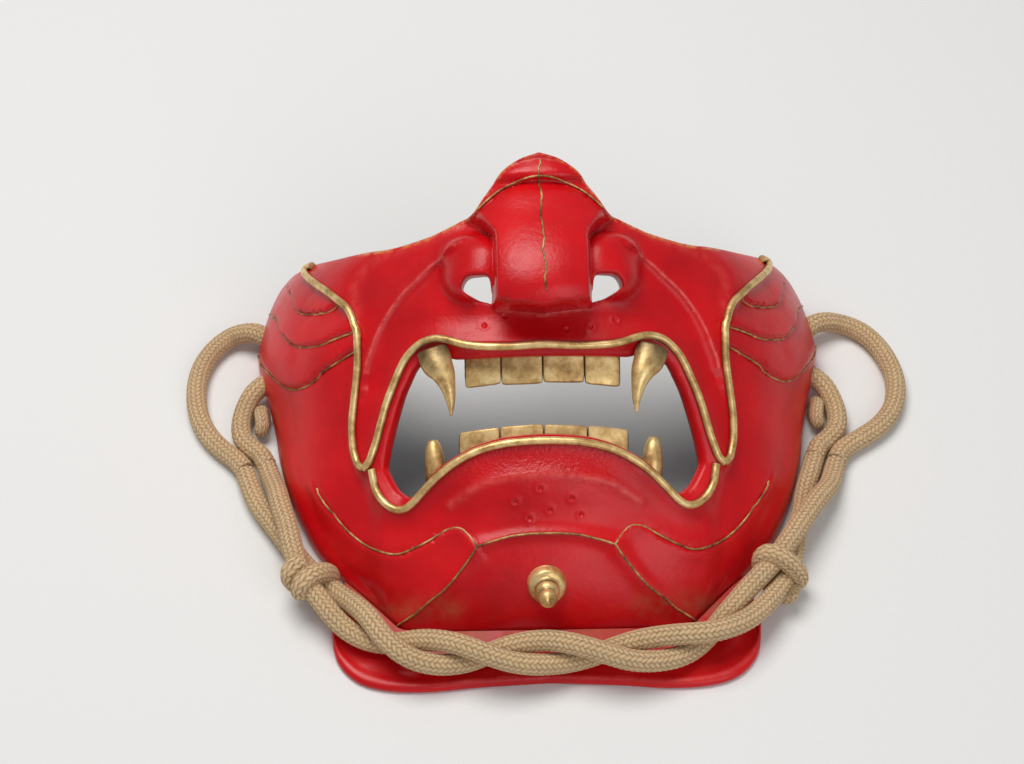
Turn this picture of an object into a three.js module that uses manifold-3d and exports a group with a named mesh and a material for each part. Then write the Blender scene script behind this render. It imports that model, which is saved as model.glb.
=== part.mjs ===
// A samurai face guard of the fierce kind: a half mask that covers the nose, cheeks and jaw.
// It lies on its back on a table, chin towards -Y and nose bridge towards +Y, as it is put down.
// The shell is worked out in the face's own frame (x across, y up the face, z out of the face),
// and the face group is then leaned over the table, whose surface is z = 0. Sizes are millimetres.
import * as THREE from "three";
import { mergeVertices } from "three/addons/utils/BufferGeometryUtils.js";
import Module from "manifold-3d";

const wasm = await Module();
wasm.setup();

// Driving dimensions.
const LEAN = THREE.MathUtils.degToRad(35); // angle between the face's plane and the table
const TABLE_AT_MOUTH = 7.8; // the table's z in the face frame, at the mouth's height (y = 0)
const TO_MIDDLE = 26.61; // from the middle of the part's depth on the table to the face frame's x axis
const WALL = 3.2; // thickness of the shell
const NOSE_HALF = 13; // half width of the nose's front
const PIPING_RADIUS = 1.15; // gilded bead round the lips and down the cheeks
const SEAT_GAP = 0.3; // gap between pieces that touch
const CORD = 6; // diameter of the braided cord
const PAIR_OFFSET = 3.3; // each strand's distance from the middle of a twisted pair
const TOOTH_DEPTH = 3.6; // front to back of a row of teeth
const STUD_TILT = THREE.MathUtils.degToRad(24); // the chin stud's axis, below straight out of the face
const TIE_HOLE = 4; // radius of the holes that the cords pass through

// The shell's horizontal sections, half ellipses from the front of the face to the table.
const SECTIONS = [
  { y: -63, half: 36, front: 52.8 },
  { y: -60, half: 41, front: 54.6 },
  { y: -55, half: 46.5, front: 57.4 },
  { y: -50, half: 52, front: 59.6 },
  { y: -45, half: 58, front: 61 },
  { y: -38, half: 65, front: 62 },
  { y: -30, half: 70, front: 62 },
  { y: -20, half: 74.6, front: 62 },
  { y: -10, half: 77.8, front: 62.3 },
  { y: 0, half: 79.8, front: 63 },
  { y: 8, half: 82, front: 63.4 },
  { y: 14, half: 84, front: 63.5 },
  { y: 22, half: 86, front: 63.5 },
  { y: 28, half: 85.7, front: 63.4 },
  { y: 36, half: 84, front: 62.8 },
  { y: 42, half: 82, front: 61.8 },
  { y: 47, half: 79.5, front: 60.8 },
  { y: 52, half: 75, front: 59.4 },
  { y: 58, half: 69, front: 57.5 },
  { y: 64, half: 64, front: 55.4 },
  { y: 76, half: 56, front: 51 },
];
// How far the shell's rear edge stands off the table, which it touches below the ears.
const REAR_RISE = [
  { y: -60, rise: 0.5 },
  { y: -30, rise: 1.5 },
  { y: -8, rise: 4 },
  { y: 8, rise: 3 },
  { y: 18, rise: 0.1 },
  { y: 26, rise: 0.1 },
  { y: 32, rise: 2.5 },
  { y: 38, rise: 7 },
  { y: 44, rise: 13 },
  { y: 50, rise: 21 },
  { y: 56, rise: 32 },
  { y: 76, rise: 50 },
];
// The top edge as the front view shows it, from the nose bridge to the ear.
const TOP_EDGE = [
  { x: 0, y: 75 },
  { x: 6, y: 73 },
  { x: 10.5, y: 70 },
  { x: 13.5, y: 66 },
  { x: 16.5, y: 61.5 },
  { x: 18.5, y: 58.6 },
  { x: 22, y: 57 },
  { x: 28, y: 54.3 },
  { x: 31.2, y: 53 },
  { x: 39, y: 51 },
  { x: 44.3, y: 50.2 },
  { x: 49, y: 50.2 },
  { x: 54, y: 50 },
  { x: 60, y: 49.7 },
  { x: 66, y: 49.8 },
  { x: 72, y: 50.2 },
  { x: 77, y: 48.8 },
  { x: 81, y: 45.5 },
  { x: 84, y: 41 },
];
// The nose's crest, from its tip over the bridge.
const NOSE_CREST = [
  { y: 28, z: 78.5 },
  { y: 31, z: 81 },
  { y: 36, z: 82 },
  { y: 44, z: 80 },
  { y: 52, z: 75.5 },
  { y: 58, z: 71 },
  { y: 63, z: 67.5 },
  { y: 66.5, z: 64 },
  { y: 68.5, z: 65.5 },
  { y: 72, z: 64.5 },
  { y: 76, z: 63 },
];
// Lines of one half of the face in the front view, from the middle outwards; the other half mirrors them.
const UPPER_RIM = [
  [0, 20.7], [9, 20.4], [17, 20.6], [22, 21.2], [25.5, 22.3], [29.2, 23], [33, 22.2], [36.2, 19.8],
  [38.7, 16.5], [41.2, 11], [43.4, 5.5], [45, 0], [46.4, -5], [47.9, -9.3], [49.6, -12.6],
];
const CHEEK_LINE = [
  [51.2, -12.8], [52.8, -10.4], [53.9, -6.5], [54.1, 0], [53.4, 7], [52.6, 13], [52.1, 19.5],
  [52.3, 25.5], [53.3, 30], [55.2, 34], [58.2, 36.8], [61.6, 39.7], [65, 42.4], [68.2, 45.4],
  [69.8, 48],
];
const LOWER_RIM = [
  [0, -6.5], [4, -6.6], [10.9, -7.2], [18, -9], [24.5, -12.3], [29.4, -16.1], [33.7, -20.2], [37.3, -23.8],
  [40.3, -25], [43.4, -23.8], [45.9, -21], [47.8, -17.8], [48.8, -15.4],
];
const MOUTH = [
  [0, 17.9], [12, 17.8], [22, 17.6], [25.5, 17.8], [28.5, 19.2], [32.5, 18.6], [36.2, 15.3], [38.6, 11],
  [40.7, 6.3], [43.6, -2.9], [45.4, -10.5], [45.6, -13.7], [43, -18.8], [41, -20.8], [38.6, -21.9],
  [36, -20.9], [33, -17.6], [29, -13.6], [24, -10.2], [17.7, -7.3], [10.8, -5.6], [0, -4.9],
];
const NOSTRIL = [
  [21.9, 35.4], [22, 37.6], [20.6, 39.8], [18.4, 40.3], [14.6, 39.4], [14.2, 32.6], [16.4, 32.4],
  [19.2, 33.5],
];
const CHEEK_FOLD = [
  [28.3, 46.4], [35.6, 40.4], [42.6, 33], [47.5, 24.6], [50.2, 17.5], [50.7, 14.7],
];
const CHIN_FOLD = [
  [43, -58.2], [36.1, -53.7], [29.3, -48.2], [23.8, -42.1], [19.1, -35.6], [12.7, -33.6], [4.6, -32.3],
  [0, -32.2],
];
// Lower edges of the three overlapping folds behind the cheek line.
const CHEEK_PLATES = [
  [
    [75.4, 42], [74, 38.5], [72, 34.9], [67.5, 33.6], [64.5, 33.5], [61.8, 33.7], [57.6, 36.2],
  ],
  [
    [82.5, 37.5], [79.8, 34], [78.2, 29.5], [74.1, 25.1], [71.2, 24.1], [67.5, 23.6], [64.2, 23.9],
    [60.2, 25], [53, 26.8],
  ],
  [
    [85.5, 24.5], [84, 20.5], [80.2, 15.9], [77.8, 13.4], [75.1, 12.1], [72.5, 11.8], [69.2, 12.6],
    [66.3, 14.1], [64.2, 16.1], [57.5, 19.5], [52.6, 21.8],
  ],
];

const FACE_COLUMNS = [0, 5, 10, 12.7, 14.2, 18, 22, 26, 28.6, 31.5]; // x of the shell's front columns
const SIDE_COLUMNS = 8; // columns from there to the rear edge
const ROWS = [
  -59, -55, -50, -45, -39, -33, -28, -22, -16, -10, -4, 3, 10, 16, 20, 23.6, 29.4, 30.4, 32, 36, 40,
];
const TOP_ROWS = 6; // rows from there to the top edge

// The neck flange's free edge on the table, seen from above in the table's frame.
const FLANGE_EDGE = [
  { part: 0, x: 0, y: -95.3 },
  { part: 0.3, x: 20, y: -96.4 },
  { part: 0.5, x: 34, y: -97.6 },
  { part: 0.65, x: 45, y: -97 },
  { part: 0.76, x: 52.5, y: -94.6 },
  { part: 0.86, x: 57.5, y: -90 },
  { part: 0.94, x: 60, y: -84.5 },
  { part: 1, x: 61, y: -76 },
];
const FLANGE_THICK = 2.6;

// The jaw rope's middle line in the table's frame, from its middle to the right ear, with the half turns
// of its two strands round each other and the slope of their reference side.
const JAW_ROPE = [
  { x: 0, y: -90.9, z: 9.8, turn: 0, tilt: 40 },
  { x: 12, y: -91.2, z: 9.8, turn: 0.36, tilt: 40 },
  { x: 24, y: -91, z: 9.8, turn: 0.78, tilt: 36 },
  { x: 36, y: -89.4, z: 9.8, turn: 1.15, tilt: 28 },
  { x: 45, y: -86, z: 9.8, turn: 1.5, tilt: 20 },
  { x: 53.4, y: -79.6, z: 9.6, turn: 1.85, tilt: 8 },
  { x: 60.4, y: -72, z: 9.4, turn: 2.1, tilt: 0 },
  { x: 66.4, y: -64.4, z: 9.2, turn: 2.25, tilt: 0 },
  { x: 70.6, y: -56.4, z: 8.6, turn: 2.4, tilt: 0 },
  { x: 74, y: -48, z: 7.6, turn: 2.55, tilt: 0 },
  { x: 78, y: -39, z: 6.6, turn: 2.7, tilt: 0 },
  { x: 81.8, y: -29.6, z: 4.6, turn: 2.95, tilt: 0 },
  { x: 84.6, y: -21, z: 3.1, turn: 3, tilt: 0 },
];
// The jaw knot's place along half the rope, and its turn.
const JAW_KNOT = { from: 0.535, to: 0.63, wide: 6.6, high: 3.7 };
// The ear loops lie on the table, from the shell's tie hole round to the end of the jaw rope.
const EAR_LOOPS = {
  left: [
    [80.3, 25.4, 7], [83, 27.3, 7], [87.6, 30.2, 6.4], [93.4, 31.2, 4], [98.8, 27.4, 3.1], [102.8, 20.2, 3.1],
    [104.3, 11.4, 3.1], [103.4, 2, 3.1], [100.4, -6, 3.1], [95.8, -12.2, 3.1], [91.2, -16.6, 3.1],
    [88.1, -20.7, 3.1],
  ],
  right: [
    [80.3, 25.4, 7], [83, 27.3, 7], [88, 30.8, 6.4], [95, 32.2, 3.7], [101.8, 28.6, 3.1], [107, 20.2, 3.1],
    [109.2, 10, 3.1], [107.6, 0, 3.1], [102.8, -7.4, 3.1], [96.4, -12.4, 3.1], [90.8, -16.4, 3.1],
    [88.1, -20.85, 3.1],
  ],
};
// The small inner loop, from the second tie hole round to the jaw rope's other strand.
const INNER_LOOP = [
  [80.7, 11.1, 7], [83, 9.2, 7], [86.4, 5.9, 6.4], [88.9, 1.2, 4.6], [89.9, -4, 3.4], [89, -9, 3.1],
  [86, -13, 3.1], [83, -16, 3.1], [81.7, -19.1, 3.1],
];
// Tie holes in the ear's wall, in the table's frame, drilled at an angle to straight across.
const TIES = [{ x: 82, y: 26.6, z: 7, angle: 35 }, { x: 82.5, y: 9.6, z: 7, angle: -40 }];
// The knot at the cord's end by the inner loop, and the one inside the ear that both tied cords share.
const KNOTS = {
  end_knot: { x: 83.6, y: -3.2, z: 4.3, width: 4.6, length: 11, height: 8 },
  tie_knot: { x: 76.6, y: 18.4, z: 7, width: 10, length: 10, height: 9 },
};

const clamp01 = (t) => Math.min(1, Math.max(0, t));
const smooth = (t) => clamp01(t) ** 2 * (3 - 2 * clamp01(t));
const bell = (distance, width) => Math.exp(-((distance / width) ** 2));

// Value of a column of a table at a place along it, by cubic pieces through its rows.
function along(table, place, from, column) {
  const last = table.length - 1;
  let i = 0;
  while (i < last - 1 && place > table[i + 1][from]) i++;
  const slope = (k) => {
    const [a, b] = [table[Math.max(k - 1, 0)], table[Math.min(k + 1, last)]];
    return (b[column] - a[column]) / (b[from] - a[from]);
  };
  const [a, b] = [table[i], table[i + 1]];
  const span = b[from] - a[from];
  const t = clamp01((place - a[from]) / span);
  const rise = t * t * (3 - 2 * t);
  return (
    a[column] * (1 - rise) + b[column] * rise +
    span * slope(i) * t * (1 - t) ** 2 - span * slope(i + 1) * t * t * (1 - t)
  );
}

// Distance from a point to a line of points, and which side of it the point is on.
function toLine(line, x, y) {
  let [best, side] = [Infinity, 1];
  for (let i = 0; i + 1 < line.length; i++) {
    const [ax, ay] = line[i];
    const [dx, dy] = [line[i + 1][0] - ax, line[i + 1][1] - ay];
    const t = clamp01(((x - ax) * dx + (y - ay) * dy) / (dx * dx + dy * dy));
    const [ex, ey] = [x - ax - t * dx, y - ay - t * dy];
    const distance = Math.hypot(ex, ey);
    if (distance < best) {
      best = distance;
      side = dx * ey - dy * ex > 0 ? 1 : -1;
    }
  }
  return { distance: best, side };
}

const halfAt = (y) => along(SECTIONS, y, "y", "half");
const frontAt = (y) => along(SECTIONS, y, "y", "front");
const rearAt = (y) => TABLE_AT_MOUTH - Math.tan(LEAN) * y;

// Height of the nose's body over the plain face, at a point of the front view.
function noseRise(x, y, base) {
  const bridge = smooth((y - 51.5) / 8.5);
  const half = NOSE_HALF + 5 * bridge;
  const top = along(NOSE_CREST, Math.max(y, 28), "y", "z") - (1.6 + 5 * bridge) * (x / half) ** 2;
  const side = 1 - smooth((x - half + 0.6) / (2 + 4 * bridge));
  return Math.max(0, top - base) * side * smooth((y - 29.4) / 1);
}

// Height of the wing beside the nostril.
function wingRise(x, y) {
  const q = Math.abs((x - 19.5) / 9.2) ** 2.7 + Math.abs((y - 43.8) / (y < 43.8 ? 10.5 : 9)) ** 2.7;
  return 8.4 * Math.max(0, 1 - q) ** 0.5;
}

// Height of the lips, folds and cheek plates over the plain face.
function relief(x, y) {
  const rim = Math.min(toLine(UPPER_RIM, x, y).distance, toLine(LOWER_RIM, x, y).distance);
  const cheek = toLine(CHEEK_LINE, x, y);
  const behind = x > 45 && cheek.side < 0 ? smooth(cheek.distance / 3) * smooth((x - 45) / 7) : 0;
  const lip = 1.5 * bell(rim, 3.2) + 3.4 * bell(y + 17, 9) * Math.max(0, 1 - (x / 40) ** 2);
  const dip = -1.8 * bell(toLine(CHEEK_FOLD, x, y).distance, 3.6);
  const chin = 1.2 * bell(toLine(CHIN_FOLD, x, y).distance, 2.6);
  let plates = 0;
  for (const plate of CHEEK_PLATES) {
    const edge = toLine(plate, x, y);
    if (x <= 50 || edge.side >= 0) continue;
    plates += 1.1 * (1 - smooth(edge.distance / 12)) * smooth(edge.distance / 1.5);
  }
  return lip + dip + chin - 1.6 * behind + behind * plates;
}

// A point of the shell's outer face (or of its inner face), at x out to the half width given by the row's y.
function shellPoint(x, y, inner = false) {
  const inset = inner ? WALL : 0;
  const [half, rear] = [halfAt(y) - inset, rearAt(y)];
  const depth = frontAt(y) - inset - rear;
  const part = Math.min(1, Math.abs(x) / half);
  const drop = Math.sqrt(Math.max(0, 1 - part * part));
  const base = rear + depth * drop;
  const across = Math.abs(x);
  const lean = new THREE.Vector2(part / half, drop / depth).normalize();
  const point = new THREE.Vector3(x, y, base);
  if (inner) {
    const width = 24 - 9 * smooth((y - 48) / 6);
    const hollow = 0.78 * Math.max(0, along(NOSE_CREST, Math.max(y, 28), "y", "z") - base - inset);
    const inside = across < width ? Math.cos((Math.PI / 2) * (across / width)) ** 2 : 0;
    point.z += hollow * inside * smooth((y - 29) / 5);
    return point;
  }
  const rise = relief(across, y) * smooth((1 - part) * 12);
  point.x += Math.sign(x) * lean.x * rise;
  point.z += lean.y * rise + Math.max(noseRise(across, y, base), wingRise(across, y));
  return point;
}

// The height of the shell's outer face, straight out of the face, at a point of the front view.
const skin = (x, y) => shellPoint(x, y).z;

// A closed body between an outer and an inner sheet, each a list of rows of points.
function sheetBody(outer, inner) {
  const [rows, columns] = [outer.length, outer[0].length];
  const positions = [...outer.flat(), ...inner.flat()].flatMap((p) => [p.x, p.y, p.z]);
  const at = (row, column, back) => (back ? rows * columns : 0) + row * columns + column;
  const index = [];
  const quad = (a, b, c, d) => index.push(a, b, c, a, c, d);
  for (let r = 0; r + 1 < rows; r++) {
    for (let c = 0; c + 1 < columns; c++) {
      quad(at(r, c, 0), at(r, c + 1, 0), at(r + 1, c + 1, 0), at(r + 1, c, 0));
      quad(at(r, c, 1), at(r + 1, c, 1), at(r + 1, c + 1, 1), at(r, c + 1, 1));
    }
    quad(at(r, 0, 0), at(r + 1, 0, 0), at(r + 1, 0, 1), at(r, 0, 1));
    quad(at(r, columns - 1, 0), at(r, columns - 1, 1), at(r + 1, columns - 1, 1), at(r + 1, columns - 1, 0));
  }
  for (let c = 0; c + 1 < columns; c++) {
    quad(at(0, c, 0), at(0, c, 1), at(0, c + 1, 1), at(0, c + 1, 0));
    quad(at(rows - 1, c, 0), at(rows - 1, c + 1, 0), at(rows - 1, c + 1, 1), at(rows - 1, c, 1));
  }
  const geometry = new THREE.BufferGeometry();
  geometry.setAttribute("position", new THREE.Float32BufferAttribute(positions, 3));
  geometry.setIndex(index);
  return geometry;
}

// A solid for joining and cutting, and back.
function solidOf(geometry) {
  const plain = geometry.clone();
  plain.deleteAttribute("normal");
  plain.deleteAttribute("uv");
  const merged = mergeVertices(plain, 1e-4);
  const vertProperties = new Float32Array(merged.attributes.position.array);
  const triVerts = new Uint32Array(merged.index.array);
  return new wasm.Manifold(new wasm.Mesh({ numProp: 3, vertProperties, triVerts }));
}
function geometryOf(solid) {
  const mesh = solid.getMesh();
  const geometry = new THREE.BufferGeometry();
  geometry.setAttribute("position", new THREE.BufferAttribute(mesh.vertProperties, 3));
  geometry.setIndex(new THREE.BufferAttribute(mesh.triVerts, 1));
  geometry.computeVertexNormals();
  return geometry;
}

// A prism along z over an outline of the front view.
function prism(points, low, high) {
  const shape = new THREE.Shape(points.map(([x, y]) => new THREE.Vector2(x, y)));
  const geometry = new THREE.ExtrudeGeometry(shape, { depth: high - low, bevelEnabled: false });
  return geometry.translate(0, 0, low);
}
const mirrored = (points) => points.map(([x, y]) => [-x, y]).reverse();

// A round bar along a smooth line through points.
function bar(points, radius, sides, steps) {
  const section = new THREE.Shape();
  for (let i = 0; i < sides; i++) {
    const angle = (2 * Math.PI * i) / sides;
    section[i ? "lineTo" : "moveTo"](radius * Math.cos(angle), radius * Math.sin(angle));
  }
  const extrudePath = new THREE.CatmullRomCurve3(points, false, "centripetal");
  return new THREE.ExtrudeGeometry(section, { steps, bevelEnabled: false, extrudePath });
}

// Where a column of the shell's net lies across the face, at a height.
function columnX(column, y, inner) {
  const inset = inner ? WALL : 0;
  const half = halfAt(y) - inset;
  const depth = frontAt(y) - inset - rearAt(y);
  const shrink = Math.min(1, half / 62);
  if (column < FACE_COLUMNS.length) return FACE_COLUMNS[column] * shrink;
  const start = Math.asin((FACE_COLUMNS[FACE_COLUMNS.length - 1] * shrink) / half);
  const end = Math.acos(clamp01(along(REAR_RISE, y, "y", "rise") / depth));
  return half * Math.sin(start + ((end - start) * (column + 1 - FACE_COLUMNS.length)) / SIDE_COLUMNS);
}

// The shell: rows of points from the jaw to the top edge, outer and inner.
function shellSheet(inner) {
  const columns = [...Array(FACE_COLUMNS.length + SIDE_COLUMNS).keys()];
  const lastRow = ROWS[ROWS.length - 1];
  const topAt = columns.map((column) => {
    let y = lastRow + 5;
    for (let pass = 0; pass < 12; pass++) y = (y + along(TOP_EDGE, columnX(column, y, false), "x", "y")) / 2;
    return y;
  });
  const rows = ROWS.map((y) => columns.map((column) => shellPoint(columnX(column, y, inner), y, inner)));
  for (let i = 1; i <= TOP_ROWS; i++) {
    rows.push(
      columns.map((column) => {
        const y = lastRow + ((topAt[column] - lastRow) * i) / TOP_ROWS;
        return shellPoint(columnX(column, y, inner), y, inner);
      }),
    );
  }
  return rows.map((row) => [...row.slice(1).reverse().map((p) => new THREE.Vector3(-p.x, p.y, p.z)), ...row]);
}

// The table frame's place of a point given in the face's frame.
function toTable(p) {
  const up = p.y * Math.sin(LEAN) + p.z * Math.cos(LEAN) - TABLE_AT_MOUTH * Math.cos(LEAN);
  return new THREE.Vector3(p.x, p.y * Math.cos(LEAN) - p.z * Math.sin(LEAN), up);
}

// The shell, cut by the mouth, the nostrils and the tie holes.
function maskShell() {
  let solid = solidOf(sheetBody(shellSheet(false), shellSheet(true)));
  const cuts = [prism([...MOUTH, ...mirrored(MOUTH).slice(1, -1)], 20, 90)];
  for (const outline of [NOSTRIL, mirrored(NOSTRIL)]) cuts.push(prism(outline, 50, 90));
  for (const { x, y, z, angle } of TIES) {
    for (const side of [-1, 1]) {
      const hole = new THREE.CylinderGeometry(TIE_HOLE, TIE_HOLE, 16, 12).rotateZ(Math.PI / 2);
      hole.rotateZ(side * THREE.MathUtils.degToRad(angle)).translate(side * x, y, z);
      cuts.push(hole.translate(0, 0, TABLE_AT_MOUTH * Math.cos(LEAN)).rotateX(-LEAN));
    }
  }
  for (const cut of cuts) solid = solid.subtract(solidOf(cut));
  return solid;
}

// A point at a height above the shell's outer face, over a point of the front view.
function above(x, y, lift) {
  const step = 1.2;
  const across = shellPoint(x + step, y).sub(shellPoint(x - step, y));
  const up = shellPoint(x, y + step).sub(shellPoint(x, y - step));
  return shellPoint(x, y).addScaledVector(across.cross(up).normalize(), lift);
}
const BEAD_LIFT = PIPING_RADIUS + 2.4 * SEAT_GAP;
const beadLine = (line) => line.map(([x, y]) => above(x, y, BEAD_LIFT));

// The bead round the upper lip, which turns up both cheeks from the corners of the mouth.
function upperRimTrim() {
  const lip = beadLine([...mirrored(UPPER_RIM).slice(0, -1), ...UPPER_RIM]);
  const corner = above(50.5, -13.9, BEAD_LIFT);
  const cheek = [corner, ...beadLine(CHEEK_LINE)];
  const flipped = (p) => new THREE.Vector3(-p.x, p.y, p.z);
  let solid = solidOf(bar([flipped(corner), ...lip, corner], PIPING_RADIUS, 5, 40));
  for (const line of [cheek, cheek.map(flipped)]) solid = solid.add(solidOf(bar(line, PIPING_RADIUS, 5, 18)));
  return geometryOf(solid);
}

// The bead round the lower lip.
function lowerRimTrim() {
  return bar(beadLine([...mirrored(LOWER_RIM).slice(0, -1), ...LOWER_RIM]), PIPING_RADIUS, 5, 36);
}

// A row of four square teeth on one backing, bent to the shell's inner face, which it is fixed to.
function teeth(edges, roots, tips, seatY) {
  const [bevel, backing] = [0.5, 1.4];
  const groove = 0.5;
  let solid = null;
  for (let i = 0; i + 1 < edges.length; i++) {
    const [left, right] = [edges[i] + groove / 2 + bevel, edges[i + 1] - groove / 2 - bevel];
    const down = tips[i] < roots ? 1 : -1;
    const [tipLeft, tipRight] = [tips[i] + down * bevel, tips[i + 1] + down * bevel];
    const shape = new THREE.Shape();
    shape.moveTo(left, roots);
    shape.lineTo(left, tipLeft + down * 1.4);
    shape.lineTo(left + 1.4, tipLeft);
    shape.lineTo(right - 1.4, tipRight);
    shape.lineTo(right, tipRight + down * 1.4);
    shape.lineTo(right, roots);
    const depth = TOOTH_DEPTH - backing - bevel;
    const tooth = new THREE.ExtrudeGeometry(shape, {
      depth, bevelThickness: bevel, bevelSize: bevel, bevelSegments: 1,
    }).translate(0, 0, backing - bevel);
    const long = Math.abs(roots - tips[i]) - 2.4;
    const back = new THREE.BoxGeometry(edges[i + 1] - edges[i] + 0.4, long, backing);
    back.translate((edges[i] + edges[i + 1]) / 2, (roots + tips[i]) / 2 + down * 1.2, backing / 2);
    const one = solidOf(tooth).add(solidOf(back));
    solid = solid ? solid.add(one) : one;
  }
  const geometry = geometryOf(solid);
  const place = geometry.attributes.position;
  for (let i = 0; i < place.count; i++) {
    const seat = shellPoint(place.getX(i), seatY, true).z - SEAT_GAP - TOOTH_DEPTH;
    place.setZ(i, place.getZ(i) + seat);
  }
  return geometry;
}

// A curved tapering body through rings, each a place with its radii across and out of the face.
function tusk(rings, sides) {
  const positions = [];
  const index = [];
  rings.forEach(({ x, y, z, wide, deep }, row) => {
    const [a, b] = [rings[Math.max(0, row - 1)], rings[Math.min(rings.length - 1, row + 1)]];
    const turn = Math.atan2(b.x - a.x, a.y - b.y);
    for (let i = 0; i < sides; i++) {
      const angle = (2 * Math.PI * i) / sides;
      const reach = wide * Math.cos(angle);
      positions.push(x + reach * Math.cos(turn), y + reach * Math.sin(turn), z + deep * Math.sin(angle));
    }
    if (row === 0) return;
    for (let i = 0; i < sides; i++) {
      const [p, q] = [row * sides + i, row * sides + ((i + 1) % sides)];
      index.push(p - sides, p, q - sides, q - sides, p, q);
    }
  });
  const last = rings.length - 1;
  for (const [ring, first] of [[rings[0], 0], [rings[last], last * sides]]) {
    const centre = positions.length / 3;
    positions.push(ring.x, ring.y, ring.z);
    for (let i = 0; i < sides; i++) {
      const [p, q] = [first + i, first + ((i + 1) % sides)];
      index.push(centre, first ? q : p, first ? p : q);
    }
  }
  const geometry = new THREE.BufferGeometry();
  geometry.setAttribute("position", new THREE.Float32BufferAttribute(positions, 3));
  geometry.setIndex(index);
  return geometry;
}

// What is left of a body that stands on the shell, clear of it by the seat gap.
function seated(geometry, shell, mirroredX) {
  const facing = mirroredX ? -1 : 1;
  const body = geometry.clone().scale(facing, 1, 1);
  if (mirroredX) body.setIndex([...body.index.array].reverse());
  let solid = solidOf(body);
  for (const [dx, dy, dz] of [[0, 0, 1.4], [1.3, 0, 0.6], [-1.3, 0, 0.6], [0, 1.3, 0.6], [0, -1.3, 0.6]]) {
    const moved = geometryOf(shell).translate(dx * SEAT_GAP, dy * SEAT_GAP, dz * SEAT_GAP);
    solid = solid.subtract(solidOf(moved));
  }
  return geometryOf(solid);
}

const UPPER_FANG = [
  { x: 31, y: 18.4, z: 61.4, wide: 4.9, deep: 3 },
  { x: 29.8, y: 16, z: 61.8, wide: 4.5, deep: 3 },
  { x: 28, y: 12.8, z: 62.2, wide: 3.4, deep: 2.7 },
  { x: 26.8, y: 9.2, z: 62.6, wide: 2.2, deep: 2.1 },
  { x: 26.1, y: 5.2, z: 62.8, wide: 1.3, deep: 1.3 },
  { x: 26, y: 1, z: 62.8, wide: 0.3, deep: 0.3 },
];
const LOWER_FANG = [
  { x: 30.4, y: -19.5, z: 50.6, wide: 2.9, deep: 2.9 },
  { x: 30.7, y: -13.5, z: 51.8, wide: 2.8, deep: 2.8 },
  { x: 30.8, y: -10, z: 52.2, wide: 2.4, deep: 2.4 },
  { x: 30.6, y: -7.4, z: 52.5, wide: 1.8, deep: 1.8 },
  { x: 30.4, y: -5.7, z: 52.6, wide: 0.8, deep: 0.8 },
];
const STUD_PROFILE = [
  [0, -1.2], [5.2, -1.2], [5.4, 1.2], [4.9, 2.2], [3.5, 3], [3, 4.4], [3.3, 5.4], [2.9, 6.6], [2.2, 7.4],
  [2.6, 8.6], [2.5, 10], [1.6, 11.2], [0.7, 11.9], [0, 12.6],
];
const STUD_Y = -46.5;

// The flange that flares from the chin's lower edge and the jaw to the table.
function neckFlange() {
  const steps = 12;
  const stations = [];
  for (let i = -steps; i <= steps; i++) {
    const part = Math.abs(i) / steps;
    const side = Math.sign(i) || 1;
    const low = ROWS[0];
    const y = part < 0.6 ? low : low + ((part - 0.6) / 0.4) * 13;
    const edgeColumn = FACE_COLUMNS.length + SIDE_COLUMNS - 1;
    const rim = columnX(edgeColumn, y, false);
    const root = toTable(shellPoint(part < 0.6 ? (rim * part) / 0.6 : rim, y));
    const edge = { x: along(FLANGE_EDGE, part, "part", "x"), y: along(FLANGE_EDGE, part, "part", "y") };
    const start = new THREE.Vector2(root.x + 0.5 * part, root.y - 0.55);
    const top = Math.max(root.z - 0.2, FLANGE_THICK + 0.3);
    stations.push({ side, start, edge, top });
  }
  const profile = [
    { out: 0, drop: 0, thick: FLANGE_THICK },
    { out: 0.45, drop: 0.62, thick: FLANGE_THICK },
    { out: 0.68, drop: 0.8, thick: 2 * FLANGE_THICK },
    { out: 0.97, drop: 1, thick: FLANGE_THICK },
    { out: 1, drop: 1.16, thick: FLANGE_THICK - 1.2 },
  ];
  const sheet = (under) =>
    profile.map(({ out, drop, thick }) =>
      stations.map(({ side, start, edge, top }) => {
        const x = side * (start.x + (edge.x - start.x) * out);
        const height = top + (FLANGE_THICK - 0.2 - top) * drop;
        const z = Math.max(0, height - (under ? thick : 0));
        return new THREE.Vector3(x, start.y + (edge.y - start.y) * out, z);
      }),
    );
  return sheetBody(sheet(true), sheet(false));
}

// The rope's middle line through the table, both halves, and one of its two strands.
function jawPlace(t) {
  const reach = Math.abs(t) * (JAW_ROPE.length - 1);
  const rows = JAW_ROPE.map((row, i) => ({ i, ...row }));
  const value = (column) => along(rows, reach, "i", column);
  const x = Math.sign(t) * value("x");
  return { x, y: value("y"), z: value("z"), turn: value("turn"), tilt: value("tilt") };
}
function jawFrame(t) {
  const here = jawPlace(t);
  const step = 0.004;
  const [a, b] = [jawPlace(Math.max(-1, t - step)), jawPlace(Math.min(1, t + step))];
  const ahead = new THREE.Vector3(b.x - a.x, b.y - a.y, b.z - a.z).normalize();
  const inward = new THREE.Vector3(-ahead.y, ahead.x, 0).normalize();
  const tilt = THREE.MathUtils.degToRad(here.tilt);
  const side = inward.multiplyScalar(Math.cos(tilt)).add(new THREE.Vector3(0, 0, Math.sin(tilt)));
  side.addScaledVector(ahead, -side.dot(ahead)).normalize();
  const other = ahead.clone().cross(side);
  return { here: new THREE.Vector3(here.x, here.y, here.z), turn: here.turn, side, other };
}
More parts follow.
